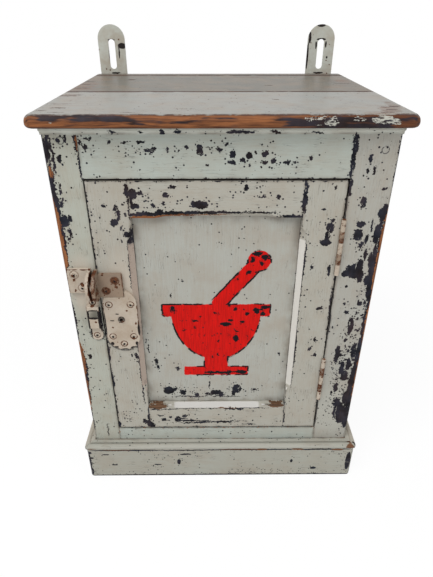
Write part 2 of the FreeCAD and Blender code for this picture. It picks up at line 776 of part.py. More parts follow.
def ear_lug(x):
    """The upright ear with a rounded front and the eye for the shackle."""
    def at(out, rise):
        return V(x, -out, EYE_Z + rise)

    bulge = LUG_ROUND_R * math.sqrt(0.5)
    straight = LUG_REACH - LUG_ROUND_R
    edge = LUG_HALF_H - LUG_ROUND_R
    outline = chain([at(LUG_FACE_GAP, -LUG_HALF_H), at(straight, -LUG_HALF_H)])
    outline.append(arc(at(straight, -LUG_HALF_H), at(straight + bulge, -edge - bulge),
                       at(LUG_REACH, -edge)))
    outline += chain([at(LUG_REACH, -edge), at(LUG_REACH, edge)])
    outline.append(arc(at(LUG_REACH, edge), at(straight + bulge, edge + bulge),
                       at(straight, LUG_HALF_H)))
    outline += chain([at(straight, LUG_HALF_H), at(LUG_FACE_GAP, LUG_HALF_H),
                      at(LUG_FACE_GAP, -LUG_HALF_H)])
    lug = profile(outline, V(LUG_T, 0, 0))
    return lug.cut(Part.makeCylinder(EYE_R, LUG_T, at(EYE_OUT, 0), V(1, 0, 0)))


def ear_plate(left, right, middle, height):
    """A flat plate on the face, with eased corners."""
    plate = box(left, right, -EAR_T, 0, middle - height / 2, middle + height / 2)
    corners = [e for e in plate.Edges if e.BoundBox.YLength > EAR_T / 2]
    return plate.makeFillet(EAR_CORNER_R, corners)


def ear_frame_screw_points():
    left = EAR_FRAME_LEFT + EAR_SCREW_INSET
    right = LUG_FRAME_X - EAR_SCREW_INSET
    rise = EAR_FRAME_H / 2 - EAR_SCREW_INSET + EAR_CORNER_R
    return [V(left, -EAR_T, EAR_FRAME_Z + rise), V(right, -EAR_T, EAR_FRAME_Z - rise)]


def ear_door_screw_points():
    left = DOOR_LEFT + EAR_SCREW_INSET
    right = DOOR_LEFT + EAR_DOOR_W - EAR_SCREW_INSET
    rise = EAR_DOOR_H / 2 - EAR_SCREW_INSET
    return [V(left, -EAR_T, EAR_DOOR_Z - rise), V(right, -EAR_T, EAR_DOOR_Z + rise)]


def ear_plate_frame():
    plate = ear_plate(EAR_FRAME_LEFT, LUG_FRAME_X + LUG_T, EAR_FRAME_Z, EAR_FRAME_H)
    return whole(drilled(plate.fuse(ear_lug(LUG_FRAME_X)), ear_frame_screw_points(), BACKWARDS))


def ear_plate_door():
    plate = ear_plate(DOOR_LEFT, DOOR_LEFT + EAR_DOOR_W, EAR_DOOR_Z, EAR_DOOR_H)
    return whole(drilled(plate.fuse(ear_lug(LUG_DOOR_X)), ear_door_screw_points(), BACKWARDS))


# Rim latch

def latch_outline(inset, depth):
    """The case's outline, round at both ends and notched round the padlock ear's plate."""
    radius = LATCH_R - inset
    low = LATCH_Z - LATCH_FOOT
    high = LATCH_Z + LATCH_HEAD
    body = box(LATCH_X - radius, LATCH_X + radius, -depth, 0, low, high)
    for z in (low, high):
        body = body.fuse(Part.makeCylinder(radius, depth, V(LATCH_X, 0, z), FORWARDS))
    clear = LATCH_EAR_GAP + inset
    notch = box(LATCH_X - LATCH_R, DOOR_LEFT + EAR_DOOR_W + clear, -depth, 0,
                EAR_DOOR_FOOT - clear, high + LATCH_R)
    return body.removeSplitter().cut(notch)


def latch_screw_points():
    """Two screws at the head, two beside the foot and one at the toe."""
    y = -LATCH_CASE_DEPTH
    head = LATCH_Z + LATCH_SCREW_HEAD
    foot = LATCH_Z - LATCH_FOOT
    points = [V(LATCH_X + side * LATCH_SCREW_SIDE, y, z) for z in (head, foot) for side in (-1, 1)]
    return points + [V(LATCH_X, y, LATCH_Z - LATCH_SCREW_TOE)]


def latch_case():
    """A shallow pressed pan over the bolt and the hub, open at the back."""
    case = latch_outline(0, LATCH_CASE_DEPTH)
    rim = [e for e in case.Edges if e.BoundBox.YMax < -LATCH_CASE_DEPTH + LATCH_EDGE_R / 2]
    case = case.makeFillet(LATCH_EDGE_R, rim)
    case = case.cut(latch_outline(LATCH_WALL, LATCH_CASE_DEPTH - LATCH_WALL))
    mouth = box(LATCH_X - LATCH_R - LATCH_WALL, LATCH_X - LATCH_R + 2 * LATCH_WALL,
                LATCH_WALL - LATCH_CASE_DEPTH, 0, BOLT_FOOT - BOLT_PLAY, BOLT_HEAD + BOLT_PLAY)
    case = case.cut(mouth)
    case = case.cut(Part.makeCylinder(HUB_BOSS_R + HUB_FIT, LATCH_CASE_DEPTH,
                                      V(LATCH_X, 0, LATCH_Z), FORWARDS))
    return whole(drilled(case, latch_screw_points(), BACKWARDS))


def bolt_notch():
    """The notch that takes the lever's head, with an eased mouth, where the bolt rests."""
    middle = LATCH_X + BOLT_THROW / 2
    half = LEVER_HEAD_R + LEVER_PLAY
    top = LATCH_Z + LEVER_R + LEVER_HEAD_R + LEVER_PLAY
    foot = BOLT_FOOT
    outline = [(-half - NOTCH_MOUTH, foot), (-half, foot + NOTCH_MOUTH), (-half, top),
               (half, top), (half, foot + NOTCH_MOUTH), (half + NOTCH_MOUTH, foot)]
    points = [V(middle + x, BOLT_BACK, z) for x, z in outline]
    return prism(points, V(0, -BOLT_T, 0))


def latch_bolt():
    """A flat bolt, drawn back into the case at rest, with a rounded nose."""
    nose = LATCH_X - LATCH_R + LATCH_WALL
    tail = LATCH_X + LATCH_R - LATCH_WALL - BOLT_PLAY
    bolt = box(nose, tail, BOLT_BACK - BOLT_T, BOLT_BACK, BOLT_FOOT, BOLT_HEAD)
    ends = [e for e in bolt.Edges
            if e.BoundBox.YLength > BOLT_T / 2 and e.BoundBox.XMax < nose + BOLT_PLAY]
    bolt = bolt.makeFillet(BOLT_NOSE_R, ends)
    return whole(bolt.cut(bolt_notch()))


def latch_hub():
    """The hub: a lever up to the bolt, a boss through the case, a journal in the door."""
    centre = V(LATCH_X, BOLT_BACK, LATCH_Z)
    hub = Part.makeCylinder(HUB_R, BOLT_T, centre, FORWARDS)
    neck = box(LATCH_X - LEVER_NECK_W / 2, LATCH_X + LEVER_NECK_W / 2, BOLT_BACK - BOLT_T, BOLT_BACK,
               LATCH_Z, LATCH_Z + LEVER_R)
    head = Part.makeCylinder(LEVER_HEAD_R, BOLT_T, centre + UP * LEVER_R, FORWARDS)
    lever = neck.fuse(head)
    lever.rotate(centre, BACKWARDS, LEVER_SWING / 2)
    boss_reach = LATCH_CASE_DEPTH + HUB_PROUD + BOLT_BACK
    boss = Part.makeCylinder(HUB_BOSS_R, boss_reach, centre, FORWARDS)
    journal = Part.makeCylinder(HUB_JOURNAL_R, HUB_JOURNAL_L - BOLT_BACK, centre, BACKWARDS)
    hub = hub.fuse([lever, boss, journal])
    half = SPINDLE_SQUARE / 2
    socket = box(LATCH_X - half, LATCH_X + half, -LATCH_CASE_DEPTH - HUB_PROUD, HUB_JOURNAL_L,
                 LATCH_Z - half, LATCH_Z + half)
    return whole(hub.cut(socket))


# Keeper

def keeper_screw_points():
    """One screw in the middle of each tab's round end."""
    ends = (MOUTH_FOOT - KEEPER_T - KEEPER_FOOT_TAB, MOUTH_TOP + KEEPER_T + KEEPER_HEAD_TAB)
    half = KEEPER_W / 2
    return [V(KEEPER_MID, -KEEPER_T, ends[0] + half), V(KEEPER_MID, -KEEPER_T, ends[1] - half)]


def latch_keeper():
    """A strap bent into a bridge with round tabs and a window where the bolt shows."""
    foot = MOUTH_FOOT - KEEPER_T - KEEPER_FOOT_TAB
    head = MOUTH_TOP + KEEPER_T + KEEPER_HEAD_TAB
    left = KEEPER_MID - KEEPER_W / 2

    def at(out, z):
        return V(left, -out, z)

    outline = [
        at(0, foot), at(KEEPER_T, foot), at(KEEPER_T, MOUTH_FOOT - KEEPER_T),
        at(KEEPER_RISE, MOUTH_FOOT - KEEPER_T), at(KEEPER_RISE, MOUTH_TOP + KEEPER_T),
        at(KEEPER_T, MOUTH_TOP + KEEPER_T), at(KEEPER_T, head), at(0, head),
        at(0, MOUTH_TOP), at(KEEPER_RISE - KEEPER_T, MOUTH_TOP),
        at(KEEPER_RISE - KEEPER_T, MOUTH_FOOT), at(0, MOUTH_FOOT),
    ]
    strap = prism(outline, V(KEEPER_W, 0, 0))
    bends = [e for e in strap.Edges
             if e.BoundBox.XLength > KEEPER_W / 2 and e.BoundBox.YMax < -KEEPER_RISE + KEEPER_T / 2]
    strap = strap.makeFillet(KEEPER_BEND_R, bends)
    half = KEEPER_W / 2
    template = box(left, left + KEEPER_W, -KEEPER_RISE, 0, foot + half, head - half)
    for z in (foot + half, head - half):
        template = template.fuse(Part.makeCylinder(half, KEEPER_RISE, V(KEEPER_MID, 0, z), FORWARDS))
    strap = strap.common(template.removeSplitter())
    window = box(KEEPER_MID - WINDOW_W / 2, KEEPER_MID + WINDOW_W / 2, -KEEPER_RISE,
                 -KEEPER_RISE + KEEPER_T, BOLT_FOOT - WINDOW_H / 2, BOLT_FOOT + WINDOW_H / 2)
    return whole(drilled(strap.cut(window), keeper_screw_points(), BACKWARDS))


# Hanging plates

def hanging_plate(side):
    """A flat plate on the back: round head above the top, upright slot, screws below."""
    x = hanger_x(side)
    half = HANGER_W / 2
    head = TOP_Z + HANGER_ABOVE
    foot = CASE_H - HANGER_BELOW
    y0, y1 = BODY_DEPTH, BODY_DEPTH + HANGER_T
    plate = box(x - half, x + half, y0, y1, foot, head - half)
    corners = [e for e in plate.Edges
               if e.BoundBox.YLength > HANGER_T / 2 and e.BoundBox.ZMax < foot + half]
    plate = plate.makeFillet(HANGER_FOOT_R, corners)
    plate = plate.fuse(Part.makeCylinder(half, HANGER_T, V(x, y0, head - half), BACKWARDS))
    r = SLOT_W / 2
    slot_top = head - SLOT_TOP_WALL - r
    slot_foot = slot_top - SLOT_L + 2 * r
    slot = box(x - r, x + r, y0, y1, slot_foot, slot_top)
    for z in (slot_foot, slot_top):
        slot = slot.fuse(Part.makeCylinder(r, HANGER_T, V(x, y0, z), BACKWARDS))
    plate = plate.removeSplitter().cut(slot.removeSplitter())
    return whole(drilled(plate, hanger_screw_points(side), FORWARDS, sunk_hole))


# Assembly

def save_case():
    for side, name in ((-1, "left"), (1, "right")):
        save("side_" + name + "_front_board", side_board(side, False))
        save("side_" + name + "_rear_board", side_board(side, True))
        save("plinth_" + name, plinth_side(side))
        save("shelf_bearer_lower_" + name, shelf_bearer(side, LOWER_SHELF_Z))
        save("shelf_bearer_upper_" + name, shelf_bearer(side, UPPER_SHELF_Z))
        save("hanging_plate_" + name, hanging_plate(side))
    save("bottom_board", bottom_board())
    for number in range(BACK_BOARDS):
        save("back_board_" + str(number + 1), back_board(number))
    save("shelf_lower", shelf(LOWER_SHELF_Z))
    save("shelf_upper", shelf(UPPER_SHELF_Z))
    save("door_stop", door_stop())
    save("plinth_front", plinth_front())
    screws = [flat_head_screw(p, FORWARDS) for side in (-1, 1) for p in hanger_screw_points(side)]
    save("hanging_plate_screws", *screws)


def save_face_and_top():
    save("face_stile_left", latch_stile())
    save("face_stile_right", hinge_stile())
    save("face_rail_top", face_rail("top"))
    save("face_rail_bottom", face_rail("bottom"))
    save("bed_moulding", bed_moulding())
    first_seam = -TOP_FRONT_OVER + TOP_FRONT_PLANK_W
    second_seam = BODY_DEPTH - TOP_STRIP_W
    save("top_plank_front", top_plank(-TOP_FRONT_OVER, first_seam))
    save("top_plank_rear", top_plank(first_seam + TOP_SEAM, second_seam - TOP_SEAM))
    save("top_back_strip", top_plank(second_seam, BODY_DEPTH))


def save_door():
    save("door_stile_left", door_latch_stile())
    save("door_stile_right", door_hinge_stile())
    save("door_rail_top", door_rail("top"))
    save("door_rail_bottom", door_rail("bottom"))
    save("door_panel", door_panel())


def save_hinges():
    for name, foot in HINGE_FEET.items():
        save("hinge_frame_leaf_" + name, hinge_leaf(1, foot))
        save("hinge_door_leaf_" + name, hinge_leaf(-1, foot))
        save("hinge_pin_" + name, hinge_pin(foot))
    for side, name in ((1, "frame"), (-1, "door")):
        points = [p for foot in HINGE_FEET.values() for p in leaf_screw_points(side, foot)]
        save("hinge_" + name + "_screws", *[flat_head_screw(p, V(side, 0, 0)) for p in points])


def save_locks():
    save("ear_plate_frame", ear_plate_frame())
    save("ear_plate_door", ear_plate_door())
    save("latch_case", latch_case())
    save("latch_bolt", latch_bolt())
    save("latch_hub", latch_hub())
    save("latch_keeper", latch_keeper())
    groups = (
        ("ear_plate_frame_screws", ear_frame_screw_points(), EAR_SCREW_R),
        ("ear_plate_door_screws", ear_door_screw_points(), EAR_SCREW_R),
        ("latch_case_screws", latch_screw_points(), LATCH_SCREW_R),
        ("latch_keeper_screws", keeper_screw_points(), KEEPER_SCREW_R),
    )
    for node, points, head_r in groups:
        save(node, *[round_head_screw(p, BACKWARDS, head_r) for p in points])


os.makedirs("parts", exist_ok=True)
save_case()
save_face_and_top()
save_door()
save_hinges()
save_locks()
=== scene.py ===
"""Looks of the wall medicine cabinet: old paint, dark undercoat, bare wood and rusted iron."""

import logging
import math
from abc import ABC, abstractmethod
from dataclasses import dataclass, field
from enum import Enum

import bmesh
import bpy
from mathutils import Matrix, Vector


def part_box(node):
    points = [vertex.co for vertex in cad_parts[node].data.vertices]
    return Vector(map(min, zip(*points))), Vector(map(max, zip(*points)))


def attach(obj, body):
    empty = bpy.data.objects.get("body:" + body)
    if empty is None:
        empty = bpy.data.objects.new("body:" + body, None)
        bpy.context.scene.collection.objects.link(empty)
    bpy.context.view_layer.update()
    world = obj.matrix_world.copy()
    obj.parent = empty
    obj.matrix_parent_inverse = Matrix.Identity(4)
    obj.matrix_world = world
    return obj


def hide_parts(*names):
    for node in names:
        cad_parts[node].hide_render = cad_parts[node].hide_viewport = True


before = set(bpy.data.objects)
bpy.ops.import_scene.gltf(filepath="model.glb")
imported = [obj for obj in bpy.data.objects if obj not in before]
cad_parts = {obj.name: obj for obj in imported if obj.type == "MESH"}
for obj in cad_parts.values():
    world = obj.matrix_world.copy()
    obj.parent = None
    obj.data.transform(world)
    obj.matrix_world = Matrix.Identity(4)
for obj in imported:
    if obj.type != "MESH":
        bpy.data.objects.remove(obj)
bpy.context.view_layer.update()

LOG = logging.getLogger("cabinet")
MM = 0.001  # a millimetre in the frame's metres
FACE_Y = -0.1626  # front of the face frame, in metres
FAR = 900.0  # in millimetres, beyond every piece
RAGGED_REACH = 9.0  # how far the outlines of chips are pushed about, in millimetres
GAP_PAINT = 2.5  # how deep the brush went into a gap, in millimetres
DULL = 0.08  # specular level of old paint, wood and iron
SHEEN = 0.1  # specular level of the top, which hands have rubbed
WHITE = (1.0, 1.0, 1.0)

Triple = tuple[float, float, float]
Span = tuple[float, float]
Run = tuple[float, float, float, float]
Socket = bpy.types.NodeSocket
Value = Socket | float


def srgb(red: int, green: int, blue: int) -> Triple:
    """A colour as it looks on a screen, turned into linear light.

    Args:
        red: red, from 0 to 255.
        green: green, from 0 to 255.
        blue: blue, from 0 to 255.

    Returns:
        The three linear values.
    """
    def linear(level: int) -> float:
        """One channel in linear light."""
        share = level / 255
        return share / 12.92 if share <= 0.04045 else ((share + 0.055) / 1.055) ** 2.4

    return linear(red), linear(green), linear(blue)


class Tone(Enum):
    """Colours of the paint coats, the wood and the iron."""

    GREY_GREEN = srgb(166, 173, 166)
    STILE_GREY = srgb(165, 168, 158)
    OFF_WHITE = srgb(165, 164, 155)
    WARM_GREY = srgb(161, 161, 154)
    PLINTH_GREY = srgb(158, 159, 150)
    PALE_IRON = srgb(182, 185, 177)
    PANEL_WHITE = srgb(164, 165, 158)
    CREAM = srgb(180, 169, 155)
    # The next three tones colour the door's chamfers by the way each faces: painted shade on the one
    # turned away from the light, and a painted highlight, partly fresher paint, on those turned to
    # it.
    PINKISH = srgb(168, 151, 139)
    FRESH_WHITE = srgb(202, 199, 192)
    LEDGE_WHITE = srgb(186, 184, 180)
    TOP_GREY = srgb(143, 145, 142)
    REAR_GREY = srgb(101, 101, 96)
    PLATE_BROWN = srgb(130, 114, 101)
    SIGN_RED = srgb(204, 16, 10)
    SIGN_RED_DARK = srgb(132, 14, 11)
    UNDERCOAT = srgb(19, 19, 23)
    UNDERCOAT_BLUE = srgb(36, 41, 52)
    WOOD_LIGHT = srgb(152, 99, 62)
    WOOD_DARK = srgb(82, 49, 34)
    OLD_WOOD = srgb(116, 86, 64)
    NOSE_LIGHT = srgb(143, 91, 56)
    NOSE_DARK = srgb(78, 47, 32)
    AGED_LIGHT = srgb(166, 136, 100)
    AGED_DARK = srgb(108, 80, 54)
    # Bare wood, darker than the open aged wood; on gap faces this dark tone is also painted shade in
    # the gaps.
    HIDDEN_LIGHT = srgb(92, 72, 54)
    HIDDEN_DARK = srgb(50, 38, 30)
    STAIN = srgb(146, 126, 104)
    GRIME = srgb(96, 86, 75)
    IRON_BLACK = srgb(38, 33, 32)
    RUST = srgb(108, 66, 42)
    RUST_DARK = srgb(48, 33, 28)
    STEEL = srgb(120, 114, 106)
    STEEL_DARK = srgb(54, 48, 44)


class Grain(Enum):
    """Direction of the wood's fibres, as the stretch of its pattern."""

    ALONG_X = (0.07, 1.0, 1.0)
    ALONG_Y = (1.0, 0.07, 1.0)
    ALONG_Z = (1.0, 1.0, 0.07)
    NONE = (0.6, 0.6, 0.6)


@dataclass(frozen=True)
class Cloud:
    """A noise: features per mm, octaves, roughness, the range that makes a mask, drawing along x."""

    scale: float
    detail: float = 2.0
    rough: float = 0.5
    start: float = 0.3
    end: float = 0.7
    drawn: float = 1.0


class Pattern(Enum):
    """The cloudy patterns in the finishes."""

    RAGGED_COARSE = Cloud(0.13, 3.0, 0.6)
    RAGGED_FINE = Cloud(0.42, 3.0, 0.6)
    GROWTH = Cloud(0.05, 3.0)
    FIBRES = Cloud(0.9, 4.0)
    BRUSHING = Cloud(0.55, 3.0)
    MOTTLE = Cloud(0.02, 3.0)
    STAINS = Cloud(0.03, 5.0, 0.65, 0.42, 0.7)
    DUST = Cloud(0.8, 3.0, 0.6, 0.6, 0.76)
    CRACKS = Cloud(0.33, 3.0)
    CRACKED_AREAS = Cloud(0.05, start=0.45, end=0.6)
    CROWDS = Cloud(0.025, 3.0, start=0.36, end=0.68)
    WEAR = Cloud(0.017)
    FINE_WEAR = Cloud(0.09, 4.0)
    JOINT_WEAR = Cloud(0.05, 4.0)
    UNDERCOAT = Cloud(0.06, 3.0)
    BROWNING = Cloud(0.03)
    RUST = Cloud(0.14, 5.0, 0.68)
    RUST_PITS = Cloud(0.9, 4.0)
    GRIME = Cloud(0.04, 3.0)
    PAINT_HELD = Cloud(0.3, start=0.7, end=0.68)
    RING_BREAKS = Cloud(0.3, start=0.36, end=0.52)
    RED_STREAKS = Cloud(0.6, 3.0)
    RED_THIN = Cloud(0.5, 4.0, 0.7, 0.7, 0.76)
    RED_FLAKES = Cloud(0.12, 4.0, 0.6, 0.62, 0.63)
    RED_RIM = Cloud(0.06, 4.0, 0.6, 0.46, 0.5)
    NOSE_SMEARS = Cloud(0.2, 4.0, 0.6, 0.54, 0.66, 0.1)
    NOSE_FLAKES = Cloud(0.13, 5.0, 0.65, 0.7, 0.72, 0.35)
    NOSE_FLECKS = Cloud(0.5, 4.0, 0.65, 0.46, 0.5, 0.25)
    NOSE_RIM = Cloud(0.1, start=0.32, end=0.5, drawn=0.1)
    TOP_UNDERCOAT = Cloud(0.05)
    TOP_FRINGE = Cloud(0.05, 3.0, start=0.36, end=0.5)
    TOP_SEAMS = Cloud(0.04, 3.0, start=0.34, end=0.46)
    TOP_THREADS = Cloud(0.35, 4.0, 0.6, 0.42, 0.52, 0.06)
    AGEING = Cloud(0.02, 4.0)
    IRON_RIM = Cloud(0.12, 3.0)
    IRON_RINGS = Cloud(0.2, start=0.32, end=0.44)
    STEEL = Cloud(0.5, 4.0)


@dataclass(frozen=True)
class Scatter:
    """Round bits: how many stand along a mm, and their radii as shares of that spacing."""

    per_mm: float
    least: float
    spread: float


class Plane(Enum):
    """The plane that marks are laid out on: which axes their two sizes run along."""

    FACE = (0, 2)
    TOP = (0, 1)
    SIDE = (1, 2)


class Side(Enum):
    """A side of a board, as its axis and whether it is the high end."""

    LEFT = (0, 0)
    RIGHT = (0, 1)
    FRONT = (1, 0)
    BACK = (1, 1)
    FOOT = (2, 0)
    HEAD = (2, 1)


class SocketKind(Enum):
    """Types of a node group's sockets."""

    VALUE = "NodeSocketFloat"
    VECTOR = "NodeSocketVector"
    COLOUR = "NodeSocketColor"


VALUE, VECTOR, COLOUR = SocketKind


@dataclass(frozen=True)
class Box:
    """Two corners in millimetres: x from the middle, y from the face, z from the floor."""

    low: Triple
    high: Triple


@dataclass(frozen=True)
class Mark:
    """A spot: its middle and its half sizes along the plane's two axes, in mm."""

    first: float
    second: float
    wide: float
    high: float


Marks = tuple[Mark, ...]


def marks(*rows: tuple[float, float, float, float]) -> Marks:
    """Marks from rows of middle and half sizes."""
    return tuple(Mark(*row) for row in rows)


def node_box(node: str, trim: Triple = (0.0, 0.0, 0.0)) -> Box:
    """A CAD node's corners in millimetres.

    Args:
        node: the node's name.
        trim: how much of each side its joints hide.

    Returns:
        The box.
    """
    shift = Vector((0.0, FACE_Y, 0.0))
    low, high = ((Vector(corner) - shift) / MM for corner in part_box(node))
    return Box(tuple(low + Vector(trim)), tuple(high - Vector(trim)))


def plate_edge(node: str, face: float) -> Box:
    """The box whose arrises are the rim of a plate's front, open towards the back."""
    own = node_box(node)
    return Box((own.low[0], face, own.low[2]), (own.high[0], FAR, own.high[2]))


def dress_node(node: str, material: bpy.types.Material) -> None:
    """Put a material on a CAD node.

    Args:
        node: the node's name.
        material: the finish.
    """
    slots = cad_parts[node].data.materials
    slots.clear()
    slots.append(material)
    LOG.info("dressed %s", node)


def placed(name: str, data: bpy.types.ID) -> bpy.types.Object:
    """A new object of the scene.

    Args:
        name: the object's name.
        data: its mesh, light or camera.

    Returns:
        The object.
    """
    made = bpy.data.objects.new(name, data)
    bpy.context.scene.collection.objects.link(made)
    return made


def finished(bm: bmesh.types.BMesh, name: str) -> bpy.types.Object:
    """Turn a bmesh into an object of the scene.

    Args:
        bm: the mesh, which is freed.
        name: the object's name.

    Returns:
        The object.
    """
    mesh = bpy.data.meshes.new(name)
    bm.to_mesh(mesh)
    bm.free()
    return placed(name, mesh)


class Graph:
    """Short calls that add nodes to one tree and link them."""

    def __init__(self, tree: bpy.types.NodeTree) -> None:
        """Keep the tree that nodes are added to."""
        self.tree = tree

    def put(self, socket: Socket, value: object) -> None:
        """Link a socket to another, or set its value.

        Args:
            socket: the input to feed.
            value: another socket, a number, three numbers, or an option that holds them.
        """
        if isinstance(value, Enum):
            value = value.value
        if isinstance(value, bpy.types.NodeSocket):
            self.tree.links.new(value, socket)
        elif socket.type == "RGBA":
            socket.default_value = (*value, 1.0)
        else:
            socket.default_value = value

    def node(self, kind: str, settings: dict[str, object] | None = None,
             **inputs: object) -> bpy.types.Node:
        """Add a node.

        Args:
            kind: the node's type.
            settings: its own properties.
            inputs: values or links by socket name, with _ for a space.

        Returns:
            The new node.
        """
        made = self.tree.nodes.new(kind)
        for key, value in (settings or {}).items():
            setattr(made, key, value)
        for key, value in inputs.items():
            self.put(made.inputs[key.replace("_", " ")], value)
        return made

    def group(self, tree: bpy.types.NodeTree, **inputs: object) -> bpy.types.NodeOutputs:
        """Place a node group with its own values, and give its outputs."""
        return self.node("ShaderNodeGroup", {"node_tree": tree}, **inputs).outputs

    def math(self, operation: str, *values: Value, clamp: bool = False) -> Socket:
        """A sum on numbers.

        Args:
            operation: the node's operation.
            values: its inputs in order.
            clamp: whether the result stays from 0 to 1.

        Returns:
            The result.
        """
        made = self.node("ShaderNodeMath", {"operation": operation, "use_clamp": clamp})
        for socket, value in zip(made.inputs, values):
            self.put(socket, value)
        return made.outputs[0]

    def fold(self, operation: str, *values: Value) -> Value:
        """Join numbers two by two.

        Args:
            operation: the node's operation.
            values: the numbers, in order.

        Returns:
            The result.
        """
        result = values[0]
        for value in values[1:]:
            result = self.math(operation, result, value)
        return result

    def most(self, *values: Value) -> Value:
        """The largest of some numbers."""
        return self.fold("MAXIMUM", *values)

    def least(self, *values: Value) -> Value:
        """The smallest of some numbers."""
        return self.fold("MINIMUM", *values)

    def times(self, *values: Value) -> Value:
        """The product of some numbers."""
        return self.fold("MULTIPLY", *values)

    def plus(self, *values: Value) -> Value:
        """The sum of some numbers."""
        return self.fold("ADD", *values)

    def minus(self, value: Value, less: Value) -> Socket:
        """A number less another."""
        return self.math("SUBTRACT", value, less)

    def left_of(self, value: Value) -> Socket:
        """What is left of 1."""
        return self.minus(1.0, value)

    def size(self, value: Value) -> Socket:
        """A number without its sign."""
        return self.math("ABSOLUTE", value)

    def under(self, value: Value, limit: Value) -> Socket:
        """1 where a number is under a limit, and 0 elsewhere."""
        return self.math("LESS_THAN", value, limit)

    def ramp(self, value: Value, slope: Value, start: Value) -> Socket:
        """A number times a slope, counted from a start."""
        return self.math("MULTIPLY_ADD", value, slope, start)

    def vector(self, operation: str, *values: object) -> Socket:
        """A sum on vectors.

        Args:
            operation: the node's operation.
            values: its inputs in order.

        Returns:
            The result, a number for LENGTH, DISTANCE and DOT_PRODUCT.
        """
        made = self.node("ShaderNodeVectorMath", {"operation": operation})
        if operation == "SCALE":
            self.put(made.inputs[0], values[0])
            self.put(made.inputs["Scale"], values[1])
        else:
            for socket, value in zip(made.inputs, values):
                self.put(socket, value)
        scalar = operation in ("LENGTH", "DISTANCE", "DOT_PRODUCT")
        return made.outputs["Value" if scalar else "Vector"]

    def axes(self, point: Socket) -> tuple[Socket, Socket, Socket]:
        """The three numbers of a vector."""
        return tuple(self.node("ShaderNodeSeparateXYZ", None, Vector=point).outputs)

    def step(self, value: Value, start: Value, end: Value) -> Socket:
        """A smooth step.

        Args:
            value: the number.
            start: where the step is 0.
            end: where it is 1, which may be lower than the start.

        Returns:
            A mask.
        """
        made = self.node("ShaderNodeMapRange", {"interpolation_type": "SMOOTHSTEP"},
                         Value=value, From_Min=start, From_Max=end)
        return made.outputs["Result"]

    def between(self, value: Value, run: Run) -> Value:
        """A mask that rises over a run's first two values and falls over its last two."""
        rise_from, rise_to, fall_from, fall_to = run
        return self.times(self.step(value, rise_from, rise_to), self.step(value, fall_to, fall_from))

    def mix(self, share: Value, first: object, second: object) -> Socket:
        """A colour between two.

        Args:
            share: how much of the second.
            first: a colour or socket.
            second: a colour or socket.

        Returns:
            The mixed colour.
        """
        made = self.node("ShaderNodeMix", {"data_type": "RGBA"})
        self.put(made.inputs[0], share)
        self.put(made.inputs[6], first)
        self.put(made.inputs[7], second)
        return made.outputs[2]

    def shaders(self, share: Value, first: bpy.types.Node, second: bpy.types.Node) -> Socket:
        """A surface between two.

        Args:
            share: how much of the second.
            first: a shader.
            second: a shader.

        Returns:
            The mixed shader.
        """
        made = self.node("ShaderNodeMixShader")
        self.put(made.inputs[0], share)
        self.put(made.inputs[1], first.outputs[0])
        self.put(made.inputs[2], second.outputs[0])
        return made.outputs[0]

    def texture(self, point: Socket, pattern: Pattern) -> bpy.types.NodeOutputs:
        """Add a noise.

        Args:
            point: the surface point in millimetres.
            pattern: which noise it is.

        Returns:
            Its outputs, a number and a colour around 0.5.
        """
        cloud = pattern.value
        if cloud.drawn < 1.0:
            point = self.vector("MULTIPLY", point, (cloud.drawn, 1.0, 1.0))
        return self.node("ShaderNodeTexNoise", None, Vector=point, Scale=cloud.scale,
                         Detail=cloud.detail, Roughness=cloud.rough).outputs

    def noise(self, point: Socket, pattern: Pattern) -> Socket:
        """The number of a noise."""
        return self.texture(point, pattern)["Fac"]

    def cloud(self, point: Socket, pattern: Pattern) -> Socket:
        """A mask made from a noise."""
        return self.masked(self.noise(point, pattern), pattern)

    def masked(self, value: Value, pattern: Pattern) -> Socket:
        """A mask made from a noise that something was added to."""
        return self.step(value, pattern.value.start, pattern.value.end)

    def scatter(self, point: Socket, bits: Scatter, chance: Value) -> Value:
        """Round bits that are scattered by chance.

        Args:
            point: the point that they are laid out on.
            bits: how close and how large they are.
            chance: share of them that shows.

        Returns:
            A mask.
        """
        cells = self.node("ShaderNodeTexVoronoi", {"feature": "F1"}, Vector=point,
                          Scale=bits.per_mm).outputs
        lot, size, _ = self.axes(cells["Color"])
        radius = self.ramp(size, bits.spread, bits.least)
        return self.times(self.under(lot, chance), self.under(cells["Distance"], radius))

    def face_point(self) -> Socket:
        """The surface point in millimetres, with y counted from the face of the frame."""
        place = self.node("ShaderNodeTexCoord").outputs["Object"]
        return self.vector("SCALE", self.vector("SUBTRACT", place, (0.0, FACE_Y, 0.0)), 1 / MM)

    def facing(self, direction: Triple, start: float = 0.6, end: float = 0.75) -> Socket:
        """A mask of where the surface faces a direction, between two cosines."""
        normal = self.node("ShaderNodeTexCoord").outputs["Normal"]
        return self.step(self.vector("DOT_PRODUCT", normal, direction), start, end)

    def nearest(self, point: Socket, spots: Marks, plane: Plane) -> Value:
        """Distance to the nearest mark, where 1 is its outline.

        Args:
            point: the surface point in millimetres.
            spots: the marks.
            plane: the plane that they are laid out on.

        Returns:
            A number, large where there is no mark.
        """
        nearest: Value = FAR
        across, up = plane.value
        for spot in spots:
            scale, shift = Vector(), Vector()
            scale[across], scale[up] = 1 / spot.wide, 1 / spot.high
            shift[across], shift[up] = -spot.first / spot.wide, -spot.second / spot.high
            away = self.vector("LENGTH",
                               self.vector("MULTIPLY_ADD", point, tuple(scale), tuple(shift)))
            nearest = self.least(nearest, away)
        return nearest

    def spots(self, point: Socket, spots: Marks, plane: Plane, whole: float = 0.9,
              start: float = 1.0) -> Socket:
        """A mask of some marks, with shares of a mark's size for where it starts and is whole."""
        return self.step(self.nearest(point, spots, plane), start, whole)

    def rings(self, point: Socket, spots: Marks, plane: Plane, wide: float, whole: float) -> Socket:
        """A mask of the outlines of some marks, with half widths as shares of a mark's size."""
        away = self.minus(self.nearest(point, spots, plane), 1.0)
        return self.step(self.size(away), wide, whole)


